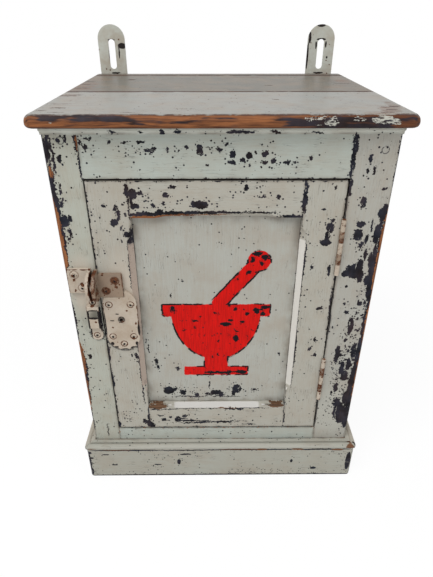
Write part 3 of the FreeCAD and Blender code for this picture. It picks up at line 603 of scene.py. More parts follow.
@dataclass
class Effects:
    """The node groups that the finishes share, each built once. Lengths are in millimetres."""

    coarse_rag: float = 0.9
    fine_rag: float = 0.55
    ring_turns: float = 60.0
    shade: float = 0.12
    dust: float = 0.2
    crack_from: float = 0.012
    crack_to: float = 0.003
    brush_depth: float = 0.05
    crack_depth: float = 0.08
    splash_reach: float = 3.0
    splash: float = 0.42
    specks: Scatter = Scatter(0.32, 0.12, 0.27)
    flakes: Scatter = Scatter(0.19, 0.2, 0.4)
    spot_whole: float = 0.94
    broad_wear: float = 0.9
    fine_wear: float = 0.5
    joint_wear: float = 1.5
    worn_soft: float = 0.85
    browning: float = 0.07
    paint_thick: float = 0.2
    grain_depth: float = 0.12
    paint_rough: float = 0.46
    fine_rough: float = 0.12
    bare_rough: float = 0.08
    rust_limit: float = 0.78
    rust_spread: float = 0.5
    rust_soft: float = 0.14
    rust_thick: float = 0.15
    ragged: bpy.types.NodeTree = field(init=False)
    edges: bpy.types.NodeTree = field(init=False)
    grain: bpy.types.NodeTree = field(init=False)
    film: bpy.types.NodeTree = field(init=False)
    chips: bpy.types.NodeTree = field(init=False)
    layers: bpy.types.NodeTree = field(init=False)
    rust: bpy.types.NodeTree = field(init=False)

    def __post_init__(self) -> None:
        """Build every group."""
        self.ragged = self.ragged_points()
        self.edges = self.board_edges()
        self.grain = self.wood_grain()
        self.film = self.paint_film()
        self.chips = self.paint_chips()
        self.layers = self.worn_layers()
        self.rust = self.rust_growth()

    @staticmethod
    def start(name: str, inputs: dict[str, SocketKind], outputs: dict[str, SocketKind]
              ) -> tuple[bpy.types.NodeTree, Graph, bpy.types.NodeOutputs, bpy.types.NodeInputs]:
        """Begin a group with named sockets.

        Args:
            name: the group's name.
            inputs: its inputs.
            outputs: its outputs.

        Returns:
            The tree, its graph, what it is given and what it puts out.
        """
        tree = bpy.data.node_groups.new(name, "ShaderNodeTree")
        for way, sockets in (("INPUT", inputs), ("OUTPUT", outputs)):
            for label, kind in sockets.items():
                tree.interface.new_socket(label, in_out=way, socket_type=kind.value)
        graph = Graph(tree)
        return tree, graph, graph.node("NodeGroupInput").outputs, graph.node("NodeGroupOutput").inputs

    def ragged_points(self) -> bpy.types.NodeTree:
        """Points pushed about, so that edges drawn on them come out ragged.

        Returns:
            The group.
        """
        tree, g, given, result = self.start(
            "ragged", {"Vector": VECTOR, "Reach": VALUE}, {"Vector": VECTOR})
        point = given["Vector"]
        place = point
        for pattern, share in ((Pattern.RAGGED_COARSE, self.coarse_rag),
                               (Pattern.RAGGED_FINE, self.fine_rag)):
            push = g.vector("SUBTRACT", g.texture(point, pattern)["Color"], (0.5, 0.5, 0.5))
            place = g.vector("ADD", place,
                             g.vector("SCALE", push, g.times(given["Reach"], share)))
        g.put(result["Vector"], place)
        return tree

    def board_edges(self) -> bpy.types.NodeTree:
        """Distance from a point on a board's surface to the board's nearest arris.

        Returns:
            The group.
        """
        tree, g, given, result = self.start(
            "board_edges", {"Vector": VECTOR, "Low": VECTOR, "High": VECTOR}, {"Distance": VALUE})
        point = given["Vector"]
        near = g.vector("MINIMUM", g.vector("SUBTRACT", point, given["Low"]),
                        g.vector("SUBTRACT", given["High"], point))
        x, y, z = g.axes(near)
        g.put(result["Distance"], g.most(g.least(x, y), g.least(g.most(x, y), z)))
        return tree

    def wood_grain(self) -> bpy.types.NodeTree:
        """Fibres and growth rings of softwood.

        Returns:
            The group.
        """
        tree, g, given, result = self.start(
            "wood_grain", {"Vector": VECTOR, "Grain": VECTOR, "Light": COLOUR, "Dark": COLOUR},
            {"Color": COLOUR, "Height": VALUE})
        point = g.vector("MULTIPLY", given["Vector"], given["Grain"])
        turns = g.times(g.noise(point, Pattern.GROWTH), self.ring_turns)
        rings = g.ramp(g.math("SINE", turns), 0.5, 0.5)
        streak = g.plus(g.times(rings, 0.5), g.times(g.cloud(point, Pattern.FIBRES), 0.5))
        g.put(result["Color"], g.mix(streak, given["Light"], given["Dark"]))
        g.put(result["Height"], streak)
        return tree

    def paint_film(self) -> bpy.types.NodeTree:
        """A brushed coat of old paint, mottled, stained and finely cracked along the grain.

        Returns:
            The group.
        """
        tree, g, given, result = self.start(
            "paint_film", {"Vector": VECTOR, "Grain": VECTOR, "Paint": COLOUR, "Stain": VALUE,
                           "Cracks": VALUE}, {"Color": COLOUR, "Height": VALUE})
        point = given["Vector"]
        along = g.vector("MULTIPLY", point, given["Grain"])
        brush = g.cloud(along, Pattern.BRUSHING)
        shade = g.plus(g.times(g.cloud(point, Pattern.MOTTLE), self.shade),
                       g.times(brush, self.shade))
        paint = g.mix(shade, given["Paint"], Tone.STAIN)
        stain = g.times(g.cloud(point, Pattern.STAINS), given["Stain"])
        paint = g.mix(stain, paint, Tone.STAIN)
        paint = g.mix(g.times(g.cloud(point, Pattern.DUST), self.dust), paint, Tone.GRIME)
        split = g.size(g.minus(g.noise(along, Pattern.CRACKS), 0.5))
        crack = g.times(g.step(split, self.crack_from, self.crack_to), given["Cracks"],
                        g.cloud(point, Pattern.CRACKED_AREAS))
        g.put(result["Color"], g.mix(crack, paint, Tone.UNDERCOAT))
        g.put(result["Height"], g.minus(g.times(brush, self.brush_depth),
                                        g.times(crack, self.crack_depth)))
        return tree

    def paint_chips(self) -> bpy.types.NodeTree:
        """Where the paint has come off: fine specks, loose flakes and listed chips.

        Returns:
            The group.
        """
        tree, g, given, result = self.start(
            "paint_chips", {"Vector": VECTOR, "Ragged": VECTOR, "Speckle": VALUE, "Patch": VALUE,
                            "Nearest": VALUE}, {"Mask": VALUE})
        point = given["Vector"]
        crowd = g.times(given["Speckle"], g.cloud(point, Pattern.CROWDS))
        splash = g.times(g.step(given["Nearest"], self.splash_reach, 1.0), self.splash)
        specks = g.scatter(point, self.specks, g.plus(crowd, splash))
        flakes = g.scatter(given["Ragged"], self.flakes, given["Patch"])
        spots = g.step(given["Nearest"], 1.0, self.spot_whole)
        g.put(result["Mask"], g.most(specks, flakes, spots))
        return tree

    def worn_layers(self) -> bpy.types.NodeTree:
        """Paint over undercoat over wood, each worn back from the arrises.

        Returns:
            The group.
        """
        tree, g, given, result = self.start(
            "worn_layers",
            {"Vector": VECTOR, "Paint": COLOUR, "Wood": COLOUR, "Chip": VALUE, "Scrape": VALUE,
             "Joint": VALUE, "Arris": VALUE, "Joint Width": VALUE, "Dark Width": VALUE,
             "Wood Width": VALUE, "Film Height": VALUE, "Wood Height": VALUE},
            {"Color": COLOUR, "Height": VALUE, "Roughness": VALUE})
        point = given["Vector"]
        fine = g.cloud(point, Pattern.FINE_WEAR)
        reach = g.plus(g.times(g.cloud(point, Pattern.WEAR), self.broad_wear),
                       g.times(fine, self.fine_wear))

        def worn(distance: Socket, width: Socket, spread: Socket) -> Socket:
            """A mask within a width of an arris, the width varied by a spread."""
            line = g.times(width, spread)
            return g.step(distance, line, g.times(line, self.worn_soft))

        dark = worn(given["Arris"], given["Dark Width"], reach)
        wood = g.most(worn(given["Arris"], given["Wood Width"], g.times(reach, reach)),
                      given["Scrape"])
        joint = worn(given["Joint"], given["Joint Width"],
                     g.times(g.cloud(point, Pattern.JOINT_WEAR), self.joint_wear))
        lost = g.most(given["Chip"], dark, joint)
        under = g.mix(g.cloud(point, Pattern.UNDERCOAT), Tone.UNDERCOAT, Tone.UNDERCOAT_BLUE)
        under = g.mix(g.times(g.cloud(point, Pattern.BROWNING), self.browning), under,
                      given["Wood"])
        coat = g.mix(lost, given["Paint"], under)
        g.put(result["Color"], g.mix(wood, coat, given["Wood"]))
        gone = g.most(lost, wood)
        film = g.times(g.plus(given["Film Height"], self.paint_thick), g.left_of(gone))
        g.put(result["Height"], g.plus(film, g.times(given["Wood Height"], gone, self.grain_depth)))
        g.put(result["Roughness"], g.plus(g.times(fine, self.fine_rough),
                                          g.ramp(gone, self.bare_rough, self.paint_rough)))
        return tree

    def rust_growth(self) -> bpy.types.NodeTree:
        """Rust that creeps through paint on iron.

        Returns:
            The group.
        """
        tree, g, given, result = self.start(
            "rust", {"Vector": VECTOR, "Amount": VALUE},
            {"Color": COLOUR, "Mask": VALUE, "Height": VALUE})
        point = given["Vector"]
        limit = g.minus(self.rust_limit, g.times(given["Amount"], self.rust_spread))
        mask = g.step(g.noise(point, Pattern.RUST), limit, g.plus(limit, self.rust_soft))
        pits = g.cloud(point, Pattern.RUST_PITS)
        g.put(result["Color"], g.mix(pits, Tone.RUST_DARK, Tone.RUST))
        g.put(result["Mask"], mask)
        g.put(result["Height"], g.times(pits, mask, self.rust_thick))
        return tree


def new_material(name: str, sheen: float = DULL
                 ) -> tuple[bpy.types.Material, Graph, bpy.types.Node]:
    """Begin a material.

    Args:
        name: its name.
        sheen: how strongly its surface mirrors.

    Returns:
        The material, its graph and its Principled BSDF.
    """
    material = bpy.data.materials.new(name)
    material.use_nodes = True
    shader = material.node_tree.nodes["Principled BSDF"]
    shader.inputs["Specular IOR Level"].default_value = sheen
    return material, Graph(material.node_tree), shader


def connect(g: Graph, shader: bpy.types.Node, colour: Socket, rough: Socket, height: Socket) -> None:
    """Feed a shader.

    Args:
        g: the material's graph.
        shader: its Principled BSDF.
        colour: the base colour.
        rough: the roughness.
        height: the surface's height in millimetres.
    """
    g.put(shader.inputs["Base Color"], colour)
    g.put(shader.inputs["Roughness"], rough)
    bump = g.node("ShaderNodeBump", None, Height=height, Distance=MM, Strength=1.0)
    g.put(shader.inputs["Normal"], bump.outputs["Normal"])


class NodeFinish(ABC):
    """A finish that is made for one CAD node."""

    node: str

    @abstractmethod
    def material(self, effects: Effects) -> bpy.types.Material:
        """Make the finish from the shared groups."""

    def dress(self, effects: Effects) -> None:
        """Give the node its finish."""
        dress_node(self.node, self.material(effects))


@dataclass(frozen=True)
class OldPaint:
    """How one board's paint has aged. Widths are in millimetres."""

    tone: Tone = Tone.GREY_GREEN
    speckle: float = 0.25
    patch: float = 0.0
    joint: float = 0.8
    dark: float = 1.6
    wood: float = 0.5
    stain: float = 0.2
    cracks: float = 0.4
    edge_dark_width: float = 4.0


@dataclass(frozen=True)
class Board(NodeFinish):
    """One painted board: its fibres, its wear and the marks that stand out on it."""

    node: str
    grain: Grain
    paint: OldPaint = OldPaint()
    trim: Triple = (0.0, 0.0, 0.0)
    worn: tuple[Side, ...] = ()
    chips: Marks = ()
    scrapes: Marks = ()
    washes: Marks = ()
    loose: Marks = ()
    dotted: Marks = ()
    rings: Marks = ()
    plane: Plane = Plane.FACE
    hidden: tuple[Side, ...] = ()
    chamfer: Triple | None = None
    painted_light_share: float = 0.0
    painted_light_top: float = FAR
    slant: Tone = Tone.FRESH_WHITE
    reach: float = RAGGED_REACH
    wash: Tone = Tone.CREAM
    timber: Tone = Tone.WOOD_LIGHT
    timber_dark: Tone = Tone.WOOD_DARK
    depth: float = 9.0
    bare_behind: float = FAR
    edge_dark_share: float = 0.6
    wash_share: float = 0.8
    ring_share: float = 0.75
    loose_speckle: float = 0.6
    loose_patch: float = 0.75
    dotted_speckle: float = 0.8

    def worn_box(self, own: Box) -> Box:
        """The board's box with every side that stays unworn moved far away.

        Args:
            own: the board's own box.

        Returns:
            The box whose arrises wear.
        """
        if not self.worn:
            return own
        corners = [list(own.low), list(own.high)]
        for side in Side:
            axis, end = side.value
            if side not in self.worn:
                corners[end][axis] += FAR if end else -FAR
        return Box(tuple(corners[0]), tuple(corners[1]))

    def coat(self, g: Graph, effects: Effects, point: Socket, ragged: Socket,
             edge: Socket) -> tuple[Socket, Socket]:
        """The paint before wear: brushed film, darkening near the board's edges and rusty washes.

        Args:
            g: the material's graph.
            effects: the shared groups.
            point: the surface point.
            ragged: the point pushed about.
            edge: distance to the board's edges.

        Returns:
            The paint's colour and its height.
        """
        paint = self.paint
        film = g.group(effects.film, Vector=point, Grain=self.grain, Paint=paint.tone,
                       Stain=paint.stain, Cracks=paint.cracks)
        # Darker within a width of the board's edges; on the panel the band runs round its recess.
        dirt = g.times(g.step(edge, paint.edge_dark_width, 0.0), g.cloud(point, Pattern.GRIME),
                       self.edge_dark_share)
        colour = g.mix(dirt, film["Color"], Tone.GRIME)
        if self.washes:
            wash = g.times(g.spots(ragged, self.washes, self.plane, whole=0.4), self.wash_share)
            colour = g.mix(wash, colour, self.wash)
        return colour, film["Height"]

    def lost(self, g: Graph, effects: Effects, point: Socket, ragged: Socket) -> Socket:
        """Where chips of paint are lost.

        Args:
            g: the material's graph.
            effects: the shared groups.
            point: the surface point.
            ragged: the point pushed about.

        Returns:
            A mask.
        """
        speckle: Value = self.paint.speckle
        patch: Value = self.paint.patch
        if self.loose:
            zone = g.spots(point, self.loose, self.plane, whole=0.5, start=1.1)
            speckle = g.ramp(zone, self.loose_speckle, speckle)
            patch = g.ramp(zone, self.loose_patch, patch)
        if self.dotted:
            zone = g.spots(point, self.dotted, self.plane, whole=0.4, start=1.1)
            speckle = g.ramp(zone, self.dotted_speckle, speckle)
        chips = g.group(effects.chips, Vector=point, Ragged=ragged, Speckle=speckle, Patch=patch,
                        Nearest=g.nearest(ragged, self.chips, self.plane))
        along = g.vector("MULTIPLY", ragged, self.grain)
        mask = g.times(chips["Mask"], g.cloud(along, Pattern.PAINT_HELD))
        if self.rings:
            ring = g.rings(point, self.rings, self.plane, wide=0.2, whole=0.12)
            broken = g.times(ring, g.cloud(point, Pattern.RING_BREAKS), self.ring_share)
            mask = g.most(mask, broken)
        return mask

    def bare_and_gap_shade(self, g: Graph, point: Socket) -> Value:
        """Where the brush didn't reach: the back, and gap faces behind their front arris, whose dark
        tone is also painted shade in the gaps.

        Args:
            g: the material's graph.
            point: the surface point.

        Returns:
            A mask.
        """
        depth = g.axes(point)[1]
        deep = g.step(depth, GAP_PAINT, GAP_PAINT + 1.0)
        mask: Value = 0.0
        for side in self.hidden:
            axis, end = side.value
            way = Vector()
            way[axis] = 1.0 if end else -1.0
            mask = g.most(mask, g.facing(tuple(way)))
        return g.most(g.times(mask, deep),
                      g.step(depth, self.bare_behind, self.bare_behind + 0.5))

    def material(self, effects: Effects) -> bpy.types.Material:
        """Make this board's own finish.

        Args:
            effects: the shared groups.

        Returns:
            The material.
        """
        material, g, shader = new_material(self.node + "_paint")
        paint, own = self.paint, node_box(self.node, self.trim)
        worn = self.worn_box(own)
        point = g.face_point()
        ragged = g.group(effects.ragged, Vector=point, Reach=self.reach)["Vector"]
        joint = g.group(effects.edges, Vector=point, Low=own.low, High=own.high)["Distance"]
        arris = g.group(effects.edges, Vector=ragged, Low=worn.low, High=worn.high)["Distance"]
        wood = g.group(effects.grain, Vector=point, Grain=self.grain, Light=self.timber,
                       Dark=self.timber_dark)
        colour, film = self.coat(g, effects, point, ragged, joint)
        chip = self.lost(g, effects, point, ragged)
        # Chamfer faces that point one way take the slant tone below a height: light and shade painted
        # by the way the face points.
        if self.chamfer:
            flat = g.times(g.facing(self.chamfer, start=0.9, end=0.97), self.painted_light_share,
                           g.step(g.axes(point)[2], self.painted_light_top, self.painted_light_top - 3.0))
            colour = g.mix(flat, colour, self.slant)
            chip = g.times(chip, g.left_of(flat))
        scrape = g.spots(ragged, self.scrapes, self.plane)
        if self.plane is Plane.FACE:
            back = own.low[1] + self.depth
            shallow = g.step(g.axes(ragged)[1], back, back - 1.0)
            chip, scrape = g.times(chip, shallow), g.times(scrape, shallow)
        layers = g.group(effects.layers, Vector=point, Paint=colour, Wood=wood["Color"], Chip=chip,
                         Scrape=scrape, Joint=joint, Arris=arris, Joint_Width=paint.joint,
                         Dark_Width=paint.dark, Wood_Width=paint.wood, Film_Height=film,
                         Wood_Height=wood["Height"])
        colour = layers["Color"]
        # Bare dark wood where the paint didn't reach; in the gaps it is also painted shade.
        if self.hidden:
            aged = g.group(effects.grain, Vector=point, Grain=self.grain, Light=Tone.HIDDEN_LIGHT,
                           Dark=Tone.HIDDEN_DARK)
            colour = g.mix(self.bare_and_gap_shade(g, point), colour, aged["Color"])
        connect(g, shader, colour, layers["Roughness"], layers["Height"])
        return material


@dataclass(frozen=True)
class SignBoard(Board):
    """The door panel, with a plain mortar and pestle painted on it in red."""

    middle: float = -7.0
    foot_z: float = 206.5
    foot_half: Triple = (45.0, 0.0, 6.0)
    waist_half: Triple = (15.0, 0.0, 22.0)
    bowl_z: float = 312.5
    bowl_radii: Triple = (62.0, 0.0, 84.0)
    rim_half: Triple = (72.0, 0.0, 8.0)
    pestle_from: Triple = (4.0, 0.0, 324.5)
    pestle_to: Triple = (56.0, 0.0, 388.5)
    pestle_radius: float = 10.0
    knob_radius: float = 15.0
    corner: float = 2.0
    outline: float = 1.5
    outline_reach: float = 3.0
    edge_soft: float = 0.4
    streak_share: float = 0.5
    thin_share: float = 0.6
    red_thick: float = 0.1
    flakes: Marks = ()

    def figure(self, g: Graph, point: Socket) -> Socket:
        """Distance to the figure's outline, below 0 inside.

        Args:
            g: the material's graph.
            point: the surface point, pushed about.

        Returns:
            The distance in millimetres.
        """
        flat = g.vector("MULTIPLY", point, (1.0, 0.0, 1.0))
        at = g.vector("SUBTRACT", flat, (self.middle, 0.0, 0.0))

        def block(height: float, half: Triple) -> Socket:
            """Distance to a bar with round corners.

            Args:
                height: where its middle is.
                half: its half sizes.

            Returns:
                The distance.
            """
            away = g.vector("ABSOLUTE", g.vector("SUBTRACT", at, (0.0, 0.0, height)))
            out = g.vector("MAXIMUM", g.vector("SUBTRACT", away, half), (0.0, 0.0, 0.0))
            return g.minus(g.vector("LENGTH", out), self.corner)

        wide, _, deep = self.bowl_radii
        level = g.vector("SUBTRACT", at, (0.0, 0.0, self.bowl_z))
        curve = g.vector("LENGTH", g.vector("DIVIDE", level, (wide, 1.0, deep)))
        bowl = g.most(g.times(g.minus(curve, 1.0), wide), g.axes(level)[2])
        start, end = Vector(self.pestle_from), Vector(self.pestle_to)
        run = end - start
        off = g.vector("SUBTRACT", at, tuple(start))
        share = g.math("DIVIDE", g.vector("DOT_PRODUCT", off, tuple(run)), run.length_squared,
                       clamp=True)
        rod = g.vector("DISTANCE", off, g.vector("SCALE", tuple(run), share))
        return g.least(bowl, block(self.bowl_z, self.rim_half), block(self.foot_z, self.foot_half),
                       block(self.foot_z + self.waist_half[2], self.waist_half),
                       g.minus(rod, self.pestle_radius),
                       g.minus(g.vector("DISTANCE", at, tuple(end)), self.knob_radius))

    def coat(self, g: Graph, effects: Effects, point: Socket, ragged: Socket,
             edge: Socket) -> tuple[Socket, Socket]:
        """The pale coat with the red figure over it, dark where the red has flaked off.

        Args:
            g: the material's graph.
            effects: the shared groups.
            point: the surface point.
            ragged: the point pushed about.
            edge: distance to the board's edges.

        Returns:
            The paint's colour and its height.
        """
        colour, height = super().coat(g, effects, point, ragged, edge)
        near = g.group(effects.ragged, Vector=point, Reach=self.outline_reach)["Vector"]
        shape = self.figure(g, near)
        inside = g.step(shape, self.edge_soft, -self.edge_soft)
        streak = g.cloud(g.vector("MULTIPLY", point, self.grain), Pattern.RED_STREAKS)
        red = g.mix(g.times(streak, self.streak_share), Tone.SIGN_RED, Tone.SIGN_RED_DARK)
        thin = g.times(g.cloud(point, Pattern.RED_THIN), self.thin_share)
        colour = g.mix(inside, colour, g.mix(thin, red, colour))
        rim = g.step(g.size(shape), self.outline, self.outline * 0.6)
        flaked = g.times(g.cloud(ragged, Pattern.RED_FLAKES), inside)
        lost = g.most(flaked, g.spots(ragged, self.flakes, self.plane, whole=0.92),
                      g.times(rim, g.cloud(point, Pattern.RED_RIM)))
        colour = g.mix(lost, colour, Tone.UNDERCOAT)
        return colour, g.minus(height, g.times(lost, self.red_thick))


@dataclass(frozen=True)
class NosedTop(NodeFinish):
    """A plank of the top: grey paint above, the nose worn to wood with dark smears."""

    node: str
    tone: Tone
    half_width: float
    nose_y: float
    foot_z: float
    thick: float
    chips: Marks = ()
    scrapes: Marks = ()
    bare_from: float = 5.0
    edge_reach: float = 4.0
    seam: float = 5.5
    fibre: float = 0.0
    bare_back: bool = False
    stain: float = 0.3
    cracks: float = 0.5
    speckle: float = 0.05
    upper_run: Run = (-203.0, -185.0, -120.0, -80.0)
    upper_rise: Span = (0.45, 0.75)
    upper_smear: float = 0.17
    black_run: Run = (40.0, 80.0, 175.0, 190.0)
    black_rise: Span = (0.85, 0.6)
    black_smear: float = 0.22
    middle_run: Span = (-120.0, -60.0)
    middle_rise: Span = (0.15, 0.6)
    middle_smear: float = 0.03
    burnt_run: Run = (60.0, 150.0, 205.0, 215.0)
    burnt_share: float = 0.75
    # Where the painted shade line along the nose's foot fades, as shares of the nose's height.
    foot_shade_line: Span = (0.2, 0.02)
    head_rim: Span = (0.8, 0.95)
    rim_share: float = 0.75
    smear_share: float = 0.9
    fringe: Span = (7.0, 6.0)
    line_share: float = 0.85
    ends: Span = (120.0, 205.0)
    ends_fibre: float = 0.08
    fibre_range: Span = (0.6, 0.66)
    rubbed_share: float = 0.8
    paint_thick: float = 0.18
    grain_depth: float = 0.15
    paint_rough: float = 0.4
    bare_rough: float = 0.16
    remains: Marks = marks((171, 567, 14, 4.4), (182, 565, 6, 3), (109, 568.5, 13, 1.8),
                           (114, 564, 9, 2.2), (143, 568, 7, 1.8), (92, 568, 6, 1.2))

    def nose(self, g: Graph, point: Socket, ragged: Socket, wood: Socket, dark: Socket
             ) -> tuple[Socket, Socket]:
        """The worn edge: wood, long dark smears, a dark line along its foot that is painted shade,
        and remains of paint towards the right.

        Args:
            g: the material's graph.
            point: the surface point.
            ragged: the point pushed about.
            wood: the wood's colour.
            dark: the undercoat's colour.

        Returns:
            The colour, and a mask of the paint that is left.
        """
        x, _, z = g.axes(point)
        rise = g.math("DIVIDE", g.minus(z, self.foot_z), self.thick)
        upper = g.times(g.between(x, self.upper_run), g.step(rise, *self.upper_rise))
        black = g.times(g.between(x, self.black_run), g.step(rise, *self.black_rise))
        middle = g.times(g.step(x, *self.middle_run), g.step(rise, *self.middle_rise),
                         self.middle_smear)
        heavy = g.plus(g.times(upper, self.upper_smear), g.times(black, self.black_smear))
        smear = g.masked(g.plus(g.noise(point, Pattern.NOSE_SMEARS), middle, heavy),
                         Pattern.NOSE_SMEARS)
        burnt = g.times(g.between(x, self.burnt_run), self.burnt_share)
        wood = g.mix(burnt, wood, Tone.NOSE_DARK)
        patch = g.spots(ragged, self.remains, Plane.FACE)
        kept = g.most(g.times(patch, g.cloud(point, Pattern.NOSE_FLECKS)),
                      g.cloud(point, Pattern.NOSE_FLAKES))
        # Dark lines along the nose: at its foot a painted shade line under the nose, at its head the
        # line where paint wears to wood.
        rim = g.times(g.most(g.step(rise, *self.foot_shade_line), g.step(rise, *self.head_rim)),
                      g.cloud(point, Pattern.NOSE_RIM), self.rim_share)
        colour = g.mix(g.times(g.most(smear, rim), self.smear_share), wood, dark)
        return g.mix(kept, colour, Tone.OFF_WHITE), kept

    def material(self, effects: Effects) -> bpy.types.Material:
        """Make the finish.

        Args:
            effects: the shared groups.

        Returns:
            The material.
        """
        material, g, shader = new_material(self.node + "_paint", SHEEN)
        grain, own = Grain.ALONG_X, node_box(self.node)
        point = g.face_point()
        ragged = g.group(effects.ragged, Vector=point, Reach=RAGGED_REACH)["Vector"]
        x, y, _ = g.axes(g.group(effects.ragged, Vector=point, Reach=self.edge_reach)["Vector"])
        edge = g.least(g.minus(y, self.nose_y), g.minus(self.half_width, g.size(x)))
        seam = g.least(g.size(g.minus(y, own.low[1])), g.size(g.minus(y, own.high[1])))
        wood = g.group(effects.grain, Vector=point, Grain=grain, Light=Tone.NOSE_LIGHT,
                       Dark=Tone.NOSE_DARK)
        film = g.group(effects.film, Vector=point, Grain=grain, Paint=self.tone, Stain=self.stain,
                       Cracks=self.cracks)
        chips = g.group(effects.chips, Vector=point, Ragged=ragged, Speckle=self.speckle, Patch=0.0,
                        Nearest=g.nearest(ragged, self.chips, Plane.TOP))
        dark = g.mix(g.cloud(point, Pattern.TOP_UNDERCOAT), Tone.UNDERCOAT, Tone.UNDERCOAT_BLUE)
        nose, kept = self.nose(g, point, ragged, wood["Color"], dark)
        worn = g.step(edge, self.bare_from, self.bare_from * 0.85)
        fringe = g.times(g.step(edge, *self.fringe), g.cloud(point, Pattern.TOP_FRINGE),
                         self.line_share)
        line = g.times(g.step(seam, self.seam, self.seam * 0.5),
                       g.cloud(point, Pattern.TOP_SEAMS), self.line_share)
        thread = g.noise(point, Pattern.TOP_THREADS)
        frayed = g.ramp(g.step(g.size(x), *self.ends), self.ends_fibre, thread)
        fibre = g.times(g.step(frayed, *self.fibre_range), self.fibre)
        rubbed = g.times(g.spots(ragged, self.scrapes, Plane.TOP, whole=0.6),
                         g.masked(thread, Pattern.TOP_THREADS), self.rubbed_share)
        flat = g.mix(g.most(rubbed, fibre), film["Color"], g.mix(0.5, wood["Color"], Tone.GRIME))
        lost = g.most(chips["Mask"], fringe, line)
        flat = g.mix(lost, flat, g.mix(0.3, dark, wood["Color"]))
        colour = g.mix(worn, flat, nose)
        if self.bare_back:
            aged = g.group(effects.grain, Vector=point, Grain=grain, Light=Tone.OLD_WOOD,
                           Dark=Tone.HIDDEN_DARK)
            colour = g.mix(g.facing((0.0, 1.0, 0.0)), colour, aged["Color"])
        gone = g.most(g.times(worn, g.left_of(kept)), g.times(g.left_of(worn), lost))
        height = g.plus(g.times(g.left_of(gone), g.plus(film["Height"], self.paint_thick)),
                        g.times(wood["Height"], gone, self.grain_depth))
        connect(g, shader, colour, g.ramp(gone, self.bare_rough, self.paint_rough), height)
        return material


@dataclass(frozen=True)
class AgedWood(NodeFinish):
    """A board left unpainted and darkened with age, most of all near its arrises."""

    node: str
    grain: Grain
    dirt: float = 5.0
    cloudy: float = 0.6
    edge_dark: float = 0.85
    rough: float = 0.6
    fibre_rough: float = 0.15
    grain_depth: float = 0.12

    def material(self, effects: Effects) -> bpy.types.Material:
        """Make the finish.

        Args:
            effects: the shared groups.

        Returns:
            The material.
        """
        material, g, shader = new_material(self.node + "_wood")
        own, point = node_box(self.node), g.face_point()
        wood = g.group(effects.grain, Vector=point, Grain=self.grain, Light=Tone.AGED_LIGHT,
                       Dark=Tone.AGED_DARK)
        edge = g.group(effects.edges, Vector=point, Low=own.low, High=own.high)["Distance"]
        dirt = g.most(g.times(g.cloud(point, Pattern.AGEING), self.cloudy),
                      g.times(g.step(edge, self.dirt, 0.0), self.edge_dark))
        colour = g.mix(dirt, wood["Color"], Tone.HIDDEN_DARK)
        rough = g.ramp(wood["Height"], self.fibre_rough, self.rough)
        connect(g, shader, colour, rough, g.times(wood["Height"], self.grain_depth))
        return material


@dataclass(frozen=True)
class OldIron:
    """Paint on iron with dark edges and rust coming through."""

    name: str
    tone: Tone = Tone.CREAM
    rust: float = 0.3
    speckle: float = 0.3
    patch: float = 0.2
    outline: float = 0.9
    edge: Box | None = None
    chips: Marks = ()
    rings: Marks = ()
    ring_rust_and_shade: float = 1.0
    rust_out: float = 0.0
    out_range: Span = (-4.0, -9.0)
    reach: float = 2.0
    stain: float = 0.45
    outline_spread: float = 1.6
    outline_soft: float = 0.7
    paint_thick: float = 0.12
    paint_rough: float = 0.45
    bare_rough: float = 0.25

    def material(self, effects: Effects) -> bpy.types.Material:
        """Make the finish.

        Args:
            effects: the shared groups.

        Returns:
            The material.
        """
        material, g, shader = new_material(self.name)
        point = g.face_point()
        ragged = g.group(effects.ragged, Vector=point, Reach=self.reach)["Vector"]
        film = g.group(effects.film, Vector=point, Grain=Grain.NONE, Paint=self.tone,
                       Stain=self.stain, Cracks=0.0)
        chips = g.group(effects.chips, Vector=point, Ragged=ragged, Speckle=self.speckle,
                        Patch=self.patch, Nearest=FAR)
        amount: Value = self.rust
        if self.rust_out:
            out = g.step(g.axes(point)[1], *self.out_range)
            amount = g.ramp(out, self.rust_out, self.rust)
        rust = g.group(effects.rust, Vector=point, Amount=amount)
        bare = g.most(chips["Mask"], rust["Mask"])
        if self.edge:
            rim = g.group(effects.edges, Vector=ragged, Low=self.edge.low, High=self.edge.high)
            line = g.times(g.cloud(point, Pattern.IRON_RIM), self.outline * self.outline_spread)
            bare = g.most(bare, g.step(rim["Distance"], line, g.times(line, self.outline_soft)))
        # Broken rings round the screw heads: rust, and painted shade where each head meets the plate.
        if self.rings:
            ring = g.rings(point, self.rings, Plane.FACE, wide=0.17, whole=0.1)
            broken = g.times(ring, g.cloud(point, Pattern.IRON_RINGS), self.ring_rust_and_shade)
            bare = g.most(bare, broken)
        colour = g.mix(bare, film["Color"], rust["Color"])
        # Black spots: chips down to the iron, and on the keeper, the case and the screw heads also
        # painted shade in mouths, gaps and slots.
        colour = g.mix(g.spots(ragged, self.chips, Plane.FACE), colour, Tone.IRON_BLACK)
        height = g.plus(g.times(g.left_of(bare), self.paint_thick), rust["Height"])
        connect(g, shader, colour, g.ramp(bare, self.bare_rough, self.paint_rough), height)
        return material


@dataclass(frozen=True)
class WornSteel:
    """Bare steel, dull and browned, still metal where it is rubbed."""

    name: str
    rust: float = 0.4
    metal: float = 0.9
    rough: float = 0.45
    rust_rough: float = 0.3

    def material(self, effects: Effects) -> bpy.types.Material:
        """Make the finish.

        Args:
            effects: the shared groups.

        Returns:
            The material.
        """
        material, g, shader = new_material(self.name)
        point = g.face_point()
        rust = g.group(effects.rust, Vector=point, Amount=self.rust)
        steel = g.mix(g.cloud(point, Pattern.STEEL), Tone.STEEL_DARK, Tone.STEEL)
        colour = g.mix(rust["Mask"], steel, rust["Color"])
        g.put(shader.inputs["Metallic"], g.times(g.left_of(rust["Mask"]), self.metal))
        rough = g.ramp(rust["Mask"], self.rust_rough, self.rough)
        connect(g, shader, colour, rough, rust["Height"])
        return material


